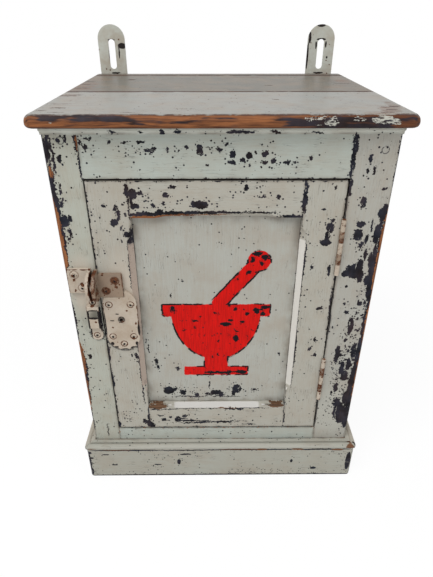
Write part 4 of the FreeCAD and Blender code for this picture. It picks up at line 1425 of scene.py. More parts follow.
@dataclass(frozen=True)
class ScrewSet:
    """The screws of one CAD node, remade with slotted heads. Sizes are in millimetres."""

    node: str
    body: str
    driven: Triple
    head: float
    flush: bool = False
    dome: float = 1.5
    length: float = 14.0
    tip: float = 3.0
    shank: float = 1.6
    cone: float = 1.4
    slot_width: float = 0.9
    slot_depth: float = 0.9
    sides: int = 28
    dome_rings: int = 6
    first_turn: float = 0.7
    next_turn: float = 1.9
    sharp_angle: float = math.radians(35)
    tone: Tone = Tone.PLATE_BROWN
    rust: float = 0.75
    painted_slot_shade: float = 0.0

    def outline(self) -> list[tuple[float, float]]:
        """The screw's outline from the crown to the tip.

        Returns:
            Radius and depth of each point, with depth 0 at the surface.
        """
        if self.flush:
            crown = [(0.0, 0.0), (self.head * 0.6, 0.0), (self.head, 0.0), (self.shank, self.cone)]
        else:
            ball = (self.head ** 2 + self.dome ** 2) / (2 * self.dome)
            last = math.asin(self.head / ball)
            turns = [last * i / self.dome_rings for i in range(self.dome_rings + 1)]
            crown = [(ball * math.sin(t), ball * (1 - math.cos(t)) - self.dome) for t in turns]
            crown.append((self.shank, 0.0))
        return crown + [(self.shank, self.length - self.tip), (0.0, self.length)]

    def prototype(self) -> bpy.types.Mesh:
        """One screw along +Z with its slot cut across the crown.

        Returns:
            The mesh.
        """
        bm = bmesh.new()
        rings = []
        for radius, depth in self.outline():
            turns = [math.tau * i / self.sides for i in range(self.sides if radius else 1)]
            rings.append([bm.verts.new((radius * math.cos(t) * MM, radius * math.sin(t) * MM,
                                        depth * MM)) for t in turns])
        for upper, lower in zip(rings, rings[1:]):
            for i in range(self.sides):
                corners = [upper[i % len(upper)], upper[(i + 1) % self.sides % len(upper)],
                           lower[(i + 1) % self.sides % len(lower)], lower[i % len(lower)]]
                bm.faces.new(list(dict.fromkeys(corners)))
        bmesh.ops.recalc_face_normals(bm, faces=bm.faces)
        screw = finished(bm, "screw")
        bm = bmesh.new()
        top = 0.0 if self.flush else -self.dome
        size = (self.slot_width * MM, self.head * 3 * MM, self.slot_depth * 2 * MM)
        bmesh.ops.create_cube(bm, size=1.0, matrix=Matrix.Translation((0, 0, top * MM))
                              @ Matrix.Diagonal((*size, 1.0)))
        cutter = finished(bm, "slot")
        cut = screw.modifiers.new("slot", "BOOLEAN")
        cut.operation = "DIFFERENCE"
        cut.object = cutter
        graph = bpy.context.evaluated_depsgraph_get()
        mesh = bpy.data.meshes.new_from_object(screw.evaluated_get(graph))
        for scrap in (screw, cutter):
            bpy.data.objects.remove(scrap)
        return mesh

    def places(self) -> list[Vector]:
        """Where each screw meets the surface, found from the tips of the CAD screws.

        Returns:
            The points in metres.
        """
        way = Vector(self.driven)
        points = [v.co.copy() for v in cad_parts[self.node].data.vertices]
        deepest = max(p.dot(way) for p in points)
        tips: list[Vector] = []
        for p in points:
            if p.dot(way) > deepest - 0.1 * MM and all((p - t).length > MM for t in tips):
                tips.append(p)
        return [t - way * self.length * MM for t in sorted(tips, key=tuple)]

    def halos(self, room: float = 0.6) -> Marks:
        """A mark around each head, as seen from the front."""
        size = self.head + room
        return tuple(Mark(p.x / MM, p.z / MM, size, size) for p in self.places())

    def build(self, effects: Effects) -> bpy.types.Object:
        """Make the screws as one piece in place of the CAD node.

        Args:
            effects: the shared groups.

        Returns:
            The piece.
        """
        mesh = self.prototype()
        # A black spot at the middle of each head is painted shade for its slot, which is too fine to
        # shade itself.
        slots = self.halos(self.painted_slot_shade - self.head) if self.painted_slot_shade else ()
        iron = OldIron(self.node + "_iron", self.tone, self.rust, chips=slots)
        aim = Vector(self.driven).to_track_quat("Z", "Y").to_matrix().to_4x4()
        bm = bmesh.new()
        for number, place in enumerate(self.places()):
            copy = mesh.copy()
            turn = Matrix.Rotation(self.first_turn + self.next_turn * number, 4, "Z")
            copy.transform(Matrix.Translation(place) @ aim @ turn)
            bm.from_mesh(copy)
            bpy.data.meshes.remove(copy)
        piece = finished(bm, self.node + "_slotted")
        for face in piece.data.polygons:
            face.use_smooth = True
        piece.data.set_sharp_from_angle(angle=self.sharp_angle)
        piece.data.materials.append(iron.material(effects))
        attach(piece, self.body)
        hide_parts(self.node)
        LOG.info("built %s", piece.name)
        return piece


class SubAssembly(ABC):
    """Pieces that are built and dressed together."""

    def screws(self) -> list[ScrewSet]:
        """The sets of screws to remake, if there are any."""
        return []

    def build(self, effects: Effects) -> None:
        """Make the meshes that stand for CAD nodes."""
        for screws in self.screws():
            screws.build(effects)

    @abstractmethod
    def dress(self, effects: Effects) -> None:
        """Give the CAD nodes their finishes."""


@dataclass
class Case(SubAssembly):
    """The carcase: sides, back, bottom, shelves and the strip that stops the door."""

    left_chips: Marks = marks(
        (40, 506, 6, 4), (22, 426, 4, 9), (60, 306, 9, 5), (120, 186, 5, 12), (250, 436, 8, 5),
        (300, 246, 5, 16), (210, 116, 12, 5))
    right_chips: Marks = marks(
        (30, 486, 5, 8), (90, 406, 9, 6), (45, 256, 6, 14), (150, 336, 4, 9), (230, 156, 10, 6),
        (290, 476, 7, 5), (320, 326, 5, 12))
    paint: OldPaint = OldPaint(speckle=0.12, dark=3.4, wood=1.2)
    loose: Marks = marks((2, 440, 14, 60), (0, 210, 16, 100), (30, 110, 40, 24))
    dotted: Marks = marks(
        (40, 480, 46, 46), (60, 150, 60, 70), (190, 320, 40, 90), (280, 150, 50, 50))

    def dress(self, effects: Effects) -> None:
        """Paint the outside and leave the inside bare.

        Args:
            effects: the shared groups.
        """
        for side, chips in (("left", self.left_chips), ("right", self.right_chips)):
            out, inner = (Side.LEFT, Side.RIGHT) if side == "left" else (Side.RIGHT, Side.LEFT)
            for part, end in (("front", Side.FRONT), ("rear", Side.BACK)):
                Board(f"side_{side}_{part}_board", Grain.ALONG_Z, self.paint, worn=(out, end),
                      chips=chips, plane=Plane.SIDE, hidden=(inner,), loose=self.loose,
                      dotted=self.dotted).dress(effects)
        for number in range(1, 5):
            AgedWood(f"back_board_{number}", Grain.ALONG_Z).dress(effects)
        AgedWood("door_stop", Grain.ALONG_Z).dress(effects)
        for node in ("bottom_board", "shelf_lower", "shelf_upper"):
            AgedWood(node, Grain.ALONG_X).dress(effects)
        for height in ("lower", "upper"):
            for side in ("left", "right"):
                AgedWood(f"shelf_bearer_{height}_{side}", Grain.ALONG_Y).dress(effects)


@dataclass
class FaceFrame(SubAssembly):
    """The two stiles and two rails around the door."""

    tenons: Triple = (24.0, 0.0, 0.0)
    left_chips: Marks = marks(
        (-183, 542.5, 2.6, 2.6), (-174, 543.5, 2, 4), (-183, 522.5, 3, 4.5), (-184, 432.5, 2, 5),
        (-191, 553, 4, 1.6), (-190, 522, 1.4, 20), (-197, 532, 2.6, 14), (-186, 551, 6, 1.6),
        (-199.5, 518, 1.4, 36), (-194.3, 536, 1.5, 17), (-195, 506, 2.4, 14), (-197, 490, 3.6, 16),
        (-195.5, 468, 4, 18), (-190, 447, 6, 8), (-182, 450, 3, 4.5), (-198.5, 426, 6.8, 54),
        (-187, 434, 1.6, 3), (-192, 540, 3, 9), (-187, 423, 2, 2), (-200, 325, 2, 22),
        (-199.6, 222, 7.4, 36), (-200, 296, 3.2, 52), (-199.8, 180, 4.6, 40), (-200, 120, 2.4, 46),
        (-187, 240.5, 3, 5), (-177.9, 92, 0.7, 14), (-176, 106, 3, 0.6), (-162, 543, 2.4, 14),
        # The mark at x -163.6 beside the keeper is painted shade in the gap between the keeper and
        # the latch.
        (-163.6, 308, 2, 22), (-161.2, 512, 1.2, 18))
    left_scrapes: Marks = marks(
        (-199.8, 428, 5.4, 50), (-198.6, 398, 5, 18), (-200.2, 236, 6, 38), (-200, 175, 3.4, 40),
        (-195, 507, 2, 7), (-161, 540, 1.6, 8))
    right_chips: Marks = marks(
        (168, 521.5, 2.4, 5.3), (167, 507.5, 2, 2.8), (175, 508.5, 1.5, 4.7), (190, 486.5, 3, 1.6),
        (168, 470.5, 3, 7.6), (169, 442.5, 5.7, 4.4), (168, 428.5, 6.3, 8), (174, 414.5, 3, 4.6),
        (178.8, 422.5, 2.5, 6.4), (183, 440.5, 1.3, 8.8), (172, 381, 9, 9), (160.5, 374, 6.5, 5),
        (164, 379, 6, 7), (176, 387, 5, 7), (179, 370, 4.5, 10), (170, 371, 8, 4), (181, 402, 2, 9),
        (190, 429, 3.4, 14), (188.5, 394, 2.6, 12), (187.6, 364, 2.6, 8), (192, 456, 4, 6),
        (163.5, 355, 2, 3), (178, 290.5, 4, 15), (166, 242.5, 4, 16), (181, 202.5, 5.4, 11),
        (182, 132, 9, 20), (186, 116, 6, 12), (178, 150, 4, 8), (176, 218, 4, 12),
        (188.5, 250, 4.4, 14), (172, 180, 3.6, 9), (189, 160, 5, 14), (184, 225, 4, 12),
        (164, 327.5, 2.4, 2.8), (169, 314.5, 2.8, 2.4), (199.4, 515, 1, 40), (195.5, 455, 4.5, 14),
        (195.5, 420, 5.4, 42), (195, 372, 6.2, 42), (197.5, 300, 4.6, 44), (197.5, 240, 5.4, 46),
        (196, 180, 7.2, 52), (195.5, 130, 7, 36), (150, 530, 1.8, 26), (149.3, 488, 2.4, 12))
    right_scrapes: Marks = marks(
        (200.2, 400, 4.6, 68), (200.2, 300, 3.2, 50), (200.2, 200, 2.8, 60))
    top_chips: Marks = marks(
        (-90, 540.5, 5, 2), (-108, 540.5, 4.5, 1.4), (-82, 531.5, 7, 2.7), (-76, 533.5, 3, 2),
        (-61, 532.5, 1.5, 3), (-40, 534.5, 2.6, 2.5), (-25, 531.5, 4, 6.7), (-15, 534.5, 2.7, 1.1),
        (-3, 532.5, 3.5, 3), (5, 537.5, 2, 2), (-17, 514.5, 2.2, 1.6), (-157, 541, 2.6, 3),
        (-150, 544, 2.6, 1.8), (-153, 536, 2.4, 2.6), (-146, 545, 1.8, 1.4), (-126, 541, 2, 3),
        (12, 527.5, 3.8, 4.2), (30, 525.5, 3, 4.5), (37, 529.5, 1.8, 2), (48, 527.5, 3.7, 4.2),
        (11, 517.5, 4.6, 2.8), (23, 519.5, 2.7, 3), (32, 514.5, 2, 1.8), (48, 517.5, 3.3, 2),
        (58, 519.5, 3.3, 3), (73, 517.5, 3.7, 2.5), (82, 517.5, 2, 2), (100, 522.5, 2, 2.7),
        (147.5, 527.5, 2, 30))

    def dress(self, effects: Effects) -> None:
        """Paint the frame, bare behind.

        Args:
            effects: the shared groups.
        """
        Board("face_stile_left", Grain.ALONG_Z,
              OldPaint(Tone.STILE_GREY, dark=0.6, wood=0.0, speckle=0.16, joint=0.2),
              worn=(Side.LEFT, Side.FRONT), chips=self.left_chips, scrapes=self.left_scrapes,
              hidden=(Side.RIGHT, Side.BACK), washes=marks((-178, 355, 26, 60)),
              rings=marks((-179, 542.5, 4, 4), (-170.7, 280, 9.2, 9.2)),
              loose=marks((-192, 470, 8, 40)),
              dotted=marks((-185, 432, 14, 16), (-176, 540, 20, 18), (-190, 225, 12, 36),
                           (-174, 110, 12, 34))).dress(effects)
        Board("face_stile_right", Grain.ALONG_Z,
              OldPaint(Tone.WARM_GREY, dark=0.8, wood=0.0, speckle=0.22),
              worn=(Side.RIGHT, Side.FRONT), chips=self.right_chips, scrapes=self.right_scrapes,
              hidden=(Side.LEFT, Side.BACK), washes=marks((170, 130, 40, 70)), wash=Tone.OFF_WHITE,
              rings=marks((183, 531.5, 4, 4)),
              loose=marks((181, 205, 20, 110), (187, 310, 10, 70), (188, 400, 7, 45),
                          (176, 160, 15, 50)),
              dotted=marks((164, 190, 16, 130), (176, 330, 20, 60), (172, 425, 16, 30),
                           (181, 210, 16, 70))).dress(effects)
        Board("face_rail_top", Grain.ALONG_X, OldPaint(dark=0.3, wood=0.0, joint=0.3),
              trim=self.tenons, chips=self.top_chips, hidden=(Side.FOOT, Side.BACK),
              dotted=marks((-60, 532, 70, 13), (40, 521, 60, 13), (-150, 541, 14, 14))
              ).dress(effects)
        Board("face_rail_bottom", Grain.ALONG_X, OldPaint(dark=0.4, wood=0.2, joint=0.4),
              trim=self.tenons, hidden=(Side.HEAD, Side.BACK)).dress(effects)


@dataclass
class Top(SubAssembly):
    """Two planks and a strip with a rounded nose, and the moulding under them."""

    half_width: float = 212.0
    nose_y: float = -18.0
    foot_z: float = 558.0
    thick: float = 14.5
    front_chips: Marks = marks(
        (-196, 111, 18, 2.4), (-188, 119, 14, 1.2), (-183, 24, 9, 1.6), (-178, -3, 10, 0.9),
        (-186, 49, 14, 1.0), (-42, 17, 14, 0.7), (-101, -4, 10, 0.8), (67, 80, 3, 2.4),
        (-196, 8, 6, 1.4), (187, 12, 8, 2.4), (176, -5, 8, 1.6), (194, 30, 6, 3), (183, 26, 5, 1.6))
    rear_chips: Marks = marks(
        (-137, 271, 7, 5), (71, 205, 6, 2.4), (-192, 180, 12, 2), (-198, 215, 10, 2),
        (-196, 250, 8, 2.5), (182, 224, 12, 1.6))
    front_scrapes: Marks = marks((184, 10, 14, 24), (168, -6, 22, 6), (196, 40, 8, 30))
    rear_scrapes: Marks = marks((-192, 200, 20, 50), (60, 300, 60, 8), (188, 250, 14, 26))
    moulding_chips: Marks = marks(
        (-66, 552, 4, 2.4), (-48, 552, 5, 2), (20, 552, 17, 2.2), (58, 552, 7, 2.2),
        (104, 551, 8, 1.4), (-120, 552, 4, 1.6), (-90, 552, 3, 1.4))
    moulding_paint: OldPaint = OldPaint(Tone.PALE_IRON, dark=0.0, wood=0.0, joint=0.0)

    def dress(self, effects: Effects) -> None:
        """Paint the planks and the moulding.

        Args:
            effects: the shared groups.
        """
        sizes = (self.half_width, self.nose_y, self.foot_z, self.thick)
        NosedTop("top_plank_front", Tone.TOP_GREY, *sizes, self.front_chips, self.front_scrapes,
                 fibre=0.25).dress(effects)
        NosedTop("top_plank_rear", Tone.REAR_GREY, *sizes, self.rear_chips, self.rear_scrapes,
                 fibre=0.6).dress(effects)
        NosedTop("top_back_strip", Tone.REAR_GREY, *sizes, seam=9.0, fibre=0.7,
                 bare_back=True).dress(effects)
        Board("bed_moulding", Grain.ALONG_X, self.moulding_paint, chips=self.moulding_chips
              ).dress(effects)


@dataclass
class Plinth(SubAssembly):
    """The board around the foot with a moulded top edge."""

    front_chips: Marks = marks(
        (-56, 52, 9.6, 1.8), (-67.5, 34, 3.2, 6.4), (-102, 28, 6.6, 1.4), (-172, 28, 5, 1.6),
        (-184, 52, 6, 1.2), (115, 35, 2.4, 4), (152, 17.6, 5, 3.2), (207, 34, 4.5, 22),
        (-213, 38, 4.2, 24), (-212, 13, 4.6, 10), (-208, 44, 4, 2), (-209, 31, 5, 1.6),
        # The long mark at z 0.5 along the foot is a painted contact shadow where the plinth meets the
        # floor.
        (-210, 56, 4, 3), (0, 0.5, 300, 4.0), (-150, 61.6, 62, 1.5), (-50, 61.2, 50, 1.2),
        (60, 62, 76, 1.4), (160, 61.6, 50, 1.6))
    front_scrapes: Marks = marks(
        (-165, 62.4, 24, 0.8), (30, 62.8, 36, 1.0), (66, 62.5, 9, 2.4), (123, 62.5, 10, 2.2),
        (187, 61, 10, 2.4), (206, 68, 7, 5), (-205, 66, 8, 2))
    paint: OldPaint = OldPaint(Tone.PLINTH_GREY, dark=0.8, wood=0.8, speckle=0.16)
    side_paint: OldPaint = OldPaint(Tone.PLINTH_GREY, dark=6.0, wood=1.5, speckle=0.16)
    reach: float = 3.0

    def dress(self, effects: Effects) -> None:
        """Paint the three boards.

        Args:
            effects: the shared groups.
        """
        Board("plinth_front", Grain.ALONG_X, self.paint, chips=self.front_chips,
              scrapes=self.front_scrapes, washes=marks((0, 69, 260, 7)), reach=self.reach,
              wash=Tone.OFF_WHITE, timber=Tone.OLD_WOOD, depth=40.0,
              dotted=marks((70, 10, 70, 10), (190, 40, 26, 30))
              ).dress(effects)
        for side in ("left", "right"):
            corner = Side.LEFT if side == "left" else Side.RIGHT
            Board(f"plinth_{side}", Grain.ALONG_Y, self.side_paint, plane=Plane.SIDE,
                  worn=(corner, Side.FRONT), reach=self.reach,
                  chips=marks((40, 36, 8, 3), (180, 28, 4, 8), (290, 46, 10, 3)),
                  washes=marks((160, 69, 300, 7))).dress(effects)


@dataclass
class Door(SubAssembly):
    """The framed door and its panel."""

    tenons: Triple = (24.0, 0.0, 0.0)
    panel_groove: Triple = (8.0, 0.0, 8.0)
    left_chips: Marks = marks(
        (-126.8, 463.5, 3.6, 4.5), (-124.6, 455.5, 3, 9.5), (-130, 445.5, 4.5, 5),
        (-140, 466.5, 2, 2), (-111.5, 485, 3, 8), (-113, 429, 3, 4), (-120, 241.5, 2.7, 5),
        (-110.5, 425, 1.8, 14), (-110.8, 466, 1.4, 12), (-115.8, 429.4, 3.4, 4.6),
        (-113.8, 419, 2, 7.5), (-115.3, 455.3, 1.6, 3.4), (-117.9, 469, 1.6, 1.8),
        (-122, 437, 1.8, 2), (-123.8, 420.6, 1.4, 2), (-110.6, 124, 2.4, 16), (-112, 108, 4, 8),
        (-118, 112, 3, 4.5), (-157.5, 105, 2.4, 8), (-158.8, 195, 1.7, 17), (-158.8, 250, 1.5, 17),
        (-158.8, 150, 1.2, 20), (-111.2, 190, 2, 4), (-118, 236, 1, 9), (-127, 241.5, 1.4, 3),
        (-148, 311, 3.4, 1.2), (-139.5, 316, 2.8, 1.2), (-116.8, 215, 1.0, 26),
        (-117, 262, 0.8, 16), (-116.8, 385, 0.8, 34), (-116, 170, 1.0, 18))
    right_chips: Marks = marks(
        (134, 447.5, 3, 2.6), (132.5, 438, 5.4, 7), (130, 427, 3.4, 6), (129, 418, 8, 4),
        (122, 461.5, 3, 1.4), (132, 487.5, 1.6, 3), (115, 384, 2.4, 3), (132, 320.8, 4.3, 2.8),
        (131, 269, 2.8, 2.6), (125, 252, 2.4, 3), (133.5, 242, 2.5, 3.2), (99, 476.5, 2.4, 22),
        (104.3, 300, 0.8, 130), (104.8, 392, 1.5, 26), (105.2, 250, 1.5, 22), (97.6, 330, 0.6, 110),
        (98.8, 118, 1.2, 12), (138, 378, 2, 8), (145.4, 330, 1, 30))
    top_chips: Marks = marks(
        (-105, 481.5, 5.5, 7), (-96, 482, 4, 2.4), (-107, 474, 2.4, 6), (-103.5, 466, 6, 4),
        (-57, 489.5, 4.4, 2), (-66, 479.5, 4.4, 3.3), (-82, 466.5, 3, 3), (-70, 468.5, 2, 2),
        (-27, 467.5, 11, 5), (-75, 459.5, 5, 2.4), (28, 488.5, 3.4, 4.5), (49, 477.5, 3.5, 2),
        (67, 477.5, 2.6, 3), (97, 476.5, 2, 22), (-92, 455.5, 22, 3.4), (-52, 457, 28, 3.0),
        (-12, 457.5, 30, 2.6), (32, 457, 36, 1.5), (84, 452.5, 15, 2.2))
    top_scrapes: Marks = marks((-92, 450.5, 22, 3.4), (-55, 452.8, 26, 2.0), (-15, 453.5, 26, 0.9))
    bottom_chips: Marks = marks(
        (-66, 116, 5, 6), (-56, 122.5, 4, 3), (-93, 124.5, 6, 2), (-50, 112.5, 14, 2.2),
        (-88, 117, 4, 2), (-20, 109.5, 20, 1.7), (8, 110.5, 13, 1.3), (-78, 121, 3, 2),
        (-109, 102.5, 6, 8), (-60, 117, 10, 1.3), (-32, 112.5, 18, 1.0), (-40, 108, 26, 1.1),
        (0, 109, 20, 1.0), (18, 111, 12, 0.8), (-86, 114, 7, 1.4), (45, 104, 12, 1.2),
        (-101, 137, 8, 1.4), (-80, 136.5, 14, 0.9), (0, 139, 80, 0.7), (20, 137.5, 16, 1.4))
    bottom_scrapes: Marks = marks((-97, 143, 16, 5), (85, 144, 13, 4), (10, 139, 22, 0.9))
    panel_chips: Marks = marks(
        (-94, 223.5, 2.6, 7), (-92, 213.5, 2.6, 4.6), (-64, 210.5, 2.7, 3.4), (-78, 168.5, 8.5, 8),
        (-70, 170, 5, 4), (-57, 163.5, 4.5, 5), (-36, 159.5, 3, 4.5), (-7, 163, 9, 6),
        (2, 160, 5, 5), (-18, 160, 6, 3), (24.5, 171, 7, 9), (20, 162, 3, 5), (51, 169, 4.6, 2.4),
        (84, 238.5, 2.6, 2), (-46, 155.5, 26, 1.3), (-17, 178, 1, 9), (-103, 249, 0.9, 8),
        (-106, 262, 1, 5), (-68, 336, 0.8, 5), (-51, 359, 2, 1.2), (8, 155, 24, 0.9))
    flakes: Marks = marks(
        (46, 399, 7, 4.5), (57, 394, 5, 4), (40, 389, 3, 5), (52, 384, 3, 4), (36, 372, 4, 3),
        (60, 318, 6, 3.4), (48, 312, 5, 5), (57, 306, 4, 3), (36, 307, 3, 2.4), (20, 314, 2.6, 3),
        (6, 290, 8, 3.4), (14, 296, 3, 2.4), (21, 266, 4, 6), (-8, 309, 2.6, 2.2), (30, 294, 3, 2),
        (-36, 296, 5, 2), (-66, 316, 3, 4), (0, 203, 26, 2.4), (30, 204, 9, 4), (-4, 236, 1.6, 3))
    left_dots: Marks = marks((-136, 438, 22, 26), (-130, 128, 26, 32), (-118, 240, 14, 18))
    right_dots: Marks = marks((131, 256, 14, 34), (130, 432, 14, 20))
    top_dots: Marks = marks((-84, 474, 30, 16), (-30, 470, 30, 8), (40, 480, 40, 10))
    bottom_dots: Marks = marks((-64, 118, 48, 15), (6, 112, 30, 8))
    panel_dots: Marks = marks((-30, 166, 84, 15), (-74, 216, 32, 24))
    paint: OldPaint = OldPaint(Tone.OFF_WHITE, dark=0.45, wood=0.0, joint=0.3)
    rail_paint: OldPaint = OldPaint(Tone.OFF_WHITE, dark=0.3, wood=0.0, joint=0.25)
    panel_paint: OldPaint = OldPaint(Tone.PANEL_WHITE, joint=0.5, edge_dark_width=14.0, dark=0.0, wood=0.0,
                                     cracks=0.3, speckle=0.05)
    bent: float = math.sqrt(0.5)
    panel_back: float = 15.0

    def dress(self, effects: Effects) -> None:
        """Paint the stiles, the rails and the panel.

        Args:
            effects: the shared groups.
        """
        slant = self.bent
        # The left stile's chamfer faces away from the light and takes a pinkish tone as painted
        # shade; the right stile's and the bottom rail's chamfers face the light and take a paler
        # white, partly fresher paint and partly painted highlight.
        Board("door_stile_left", Grain.ALONG_Z, self.paint, chips=self.left_chips,
              dotted=self.left_dots, washes=marks((-128, 325, 36, 100)),
              chamfer=(slant, -slant, 0.0), painted_light_share=0.8, painted_light_top=417.0,
              rings=marks((-134.4, 281, 24.4, 26)), slant=Tone.PINKISH,
              hidden=(Side.LEFT, Side.FOOT, Side.HEAD, Side.BACK),
              bare_behind=self.panel_back).dress(effects)
        Board("door_stile_right", Grain.ALONG_Z, self.paint, chips=self.right_chips,
              dotted=self.right_dots, chamfer=(-slant, -slant, 0.0), painted_light_share=0.95, painted_light_top=422.0,
              hidden=(Side.RIGHT, Side.FOOT, Side.HEAD, Side.BACK),
              bare_behind=self.panel_back).dress(effects)
        Board("door_rail_top", Grain.ALONG_X, self.rail_paint, trim=self.tenons,
              chips=self.top_chips, scrapes=self.top_scrapes, hidden=(Side.HEAD, Side.BACK),
              dotted=self.top_dots, timber=Tone.NOSE_LIGHT, bare_behind=self.panel_back
              ).dress(effects)
        Board("door_rail_bottom", Grain.ALONG_X, self.rail_paint, trim=self.tenons,
              chips=self.bottom_chips, scrapes=self.bottom_scrapes, hidden=(Side.FOOT, Side.BACK),
              chamfer=(0.0, -slant, slant), painted_light_share=0.95, slant=Tone.LEDGE_WHITE,
              dotted=self.bottom_dots, timber=Tone.OLD_WOOD, timber_dark=Tone.HIDDEN_DARK,
              bare_behind=self.panel_back).dress(effects)
        SignBoard("door_panel", Grain.ALONG_Z, self.panel_paint, trim=self.panel_groove,
                  chips=self.panel_chips, flakes=self.flakes, dotted=self.panel_dots,
                  hidden=(Side.BACK,)).dress(effects)


@dataclass
class Hinges(SubAssembly):
    """Two butt hinges: two leaves and a pin each, with flush screws."""

    screw_head: float = 3.0

    def screws(self) -> list[ScrewSet]:
        """The flush screws, driven sideways into the frame and into the door."""
        return [ScrewSet(f"hinge_{side}_screws", body, (way, 0, 0), self.screw_head, True)
                for side, body, way in (("frame", "cabinet", 1), ("door", "door", -1))]

    def dress(self, effects: Effects) -> None:
        """Finish the leaves and pins.

        Args:
            effects: the shared groups.
        """
        for part, iron in (
                ("frame_leaf", OldIron("hinge_frame_leaf", rust=0.45, patch=0.3)),
                ("door_leaf", OldIron("hinge_door_leaf", Tone.PLATE_BROWN, rust=0.72)),
                ("pin", OldIron("hinge_pin", rust=0.85))):
            material = iron.material(effects)
            for height in ("upper", "lower"):
                dress_node(f"hinge_{part}_{height}", material)


@dataclass
class PadlockEars(SubAssembly):
    """A plate with a pierced lug on the frame and its mate on the door."""

    screw_head: float = 4.8
    painted_slot_shade: float = 1.5
    face_y: float = -4.5
    lug_rust: float = 0.36

    def screws(self) -> list[ScrewSet]:
        """The round-headed screws of the frame's plate and of the door's.

        Returns:
            The two sets.
        """
        return [ScrewSet(f"ear_plate_{place}_screws", body, (0, 1, 0), self.screw_head, tone=tone,
                         rust=rust, painted_slot_shade=self.painted_slot_shade)
                for place, body, tone, rust in (("frame", "cabinet", Tone.CREAM, 0.3),
                                                ("door", "door", Tone.PLATE_BROWN, 0.85))]

    def dress(self, effects: Effects) -> None:
        """Finish the plates.

        Args:
            effects: the shared groups.
        """
        for (place, rust, ring), heads in zip((("frame", 0.1, 0.5), ("door", 0.3, 0.8)),
                                              self.screws()):
            node = f"ear_plate_{place}"
            iron = OldIron(f"ear_{place}", heads.tone, rust, speckle=0.18, patch=0.08,
                           edge=plate_edge(node, self.face_y), rust_out=self.lug_rust,
                           rings=heads.halos(), ring_rust_and_shade=ring)
            dress_node(node, iron.material(effects))


@dataclass
class RimLatch(SubAssembly):
    """A shallow case with its hub and bolt, and the bridge keeper on the frame."""

    case_face: float = -4.4
    keeper_face: float = -8.0
    case_screw_head: float = 3.9
    keeper_screw_head: float = 3.6
    painted_slot_shade: float = 1.8
    case_chips_and_shade: Marks = marks(
        (-147, 305, 3.2, 1.0), (-139.5, 316, 2.6, 1.0), (-150.5, 267, 2.4, 3),
        (-146, 261, 3.4, 1.8), (-134, 257, 6, 1.6), (-122, 260, 4.2, 1.8), (-117, 267, 2.2, 3.4),
        # The mark at x -156.6 along the case's left edge is painted shade in the gap beside the
        # keeper.
        (-112.6, 290, 1.4, 10), (-156.6, 300, 1.0, 20))
    keeper_chips_and_shade: Marks = marks(
        (-176.6, 317, 1.2, 7), (-164.8, 317, 1.3, 8), (-170.6, 311, 7, 1.3),
        # The mark at x -163.4 on the keeper's right side is painted shade in its open mouth.
        (-170.6, 323.2, 7, 1.3), (-163.4, 304, 1.8, 20), (-177.8, 300, 1.3, 26))

    def screws(self) -> list[ScrewSet]:
        """The round-headed screws of the case and of the keeper.

        Returns:
            The two sets.
        """
        return [ScrewSet(f"latch_{part}_screws", body, (0, 1, 0), head, tone=Tone.CREAM, rust=0.3,
                         painted_slot_shade=self.painted_slot_shade)
                for part, body, head in (("case", "door", self.case_screw_head),
                                         ("keeper", "cabinet", self.keeper_screw_head))]

    def dress(self, effects: Effects) -> None:
        """Finish the case, the keeper, the bolt and the hub.

        Args:
            effects: the shared groups.
        """
        for (node, face, chips), heads in zip(
                (("latch_case", self.case_face, self.case_chips_and_shade),
                 ("latch_keeper", self.keeper_face, self.keeper_chips_and_shade)), self.screws()):
            iron = OldIron(node, Tone.CREAM, rust=0.14, speckle=0.14, patch=0.05, outline=1.1,
                           edge=plate_edge(node, face), chips=chips, rings=heads.halos())
            dress_node(node, iron.material(effects))
        dress_node("latch_bolt", WornSteel("bolt_steel", 0.3).material(effects))
        dress_node("latch_hub", WornSteel("hub_steel", 0.6).material(effects))


@dataclass
class HangingPlates(SubAssembly):
    """Two slotted plates on the back that stand above the top."""

    screw_head: float = 3.0
    left_chips: Marks = marks(
        (-161, 615, 7, 4.5), (-178, 624, 6, 1.6), (-182.5, 602, 1.6, 14), (-166.5, 605, 1.2, 10),
        (-175, 574, 8, 1.4))
    right_chips: Marks = marks(
        (149, 600, 1.8, 22), (151, 627, 2.4, 9), (168, 645, 7, 2.6), (170, 624.5, 8, 2),
        (162, 616, 1.6, 6), (178, 617, 1.6, 5), (182, 598, 1.6, 2), (170, 574, 9, 1.4))

    def screws(self) -> list[ScrewSet]:
        """The flush screws on the back."""
        return [ScrewSet("hanging_plate_screws", "cabinet", (0, -1, 0), self.screw_head, True)]

    def dress(self, effects: Effects) -> None:
        """Finish the plates.

        Args:
            effects: the shared groups.
        """
        for side, chips in (("left", self.left_chips), ("right", self.right_chips)):
            iron = OldIron(f"hanging_{side}", Tone.PALE_IRON, 0.05, speckle=0.12, patch=0.0,
                           chips=chips)
            dress_node(f"hanging_plate_{side}", iron.material(effects))


@dataclass(frozen=True)
class Lamp:
    """A square soft lamp: its place and side in metres, and its power in watts."""

    place: Triple
    size: float
    power: float


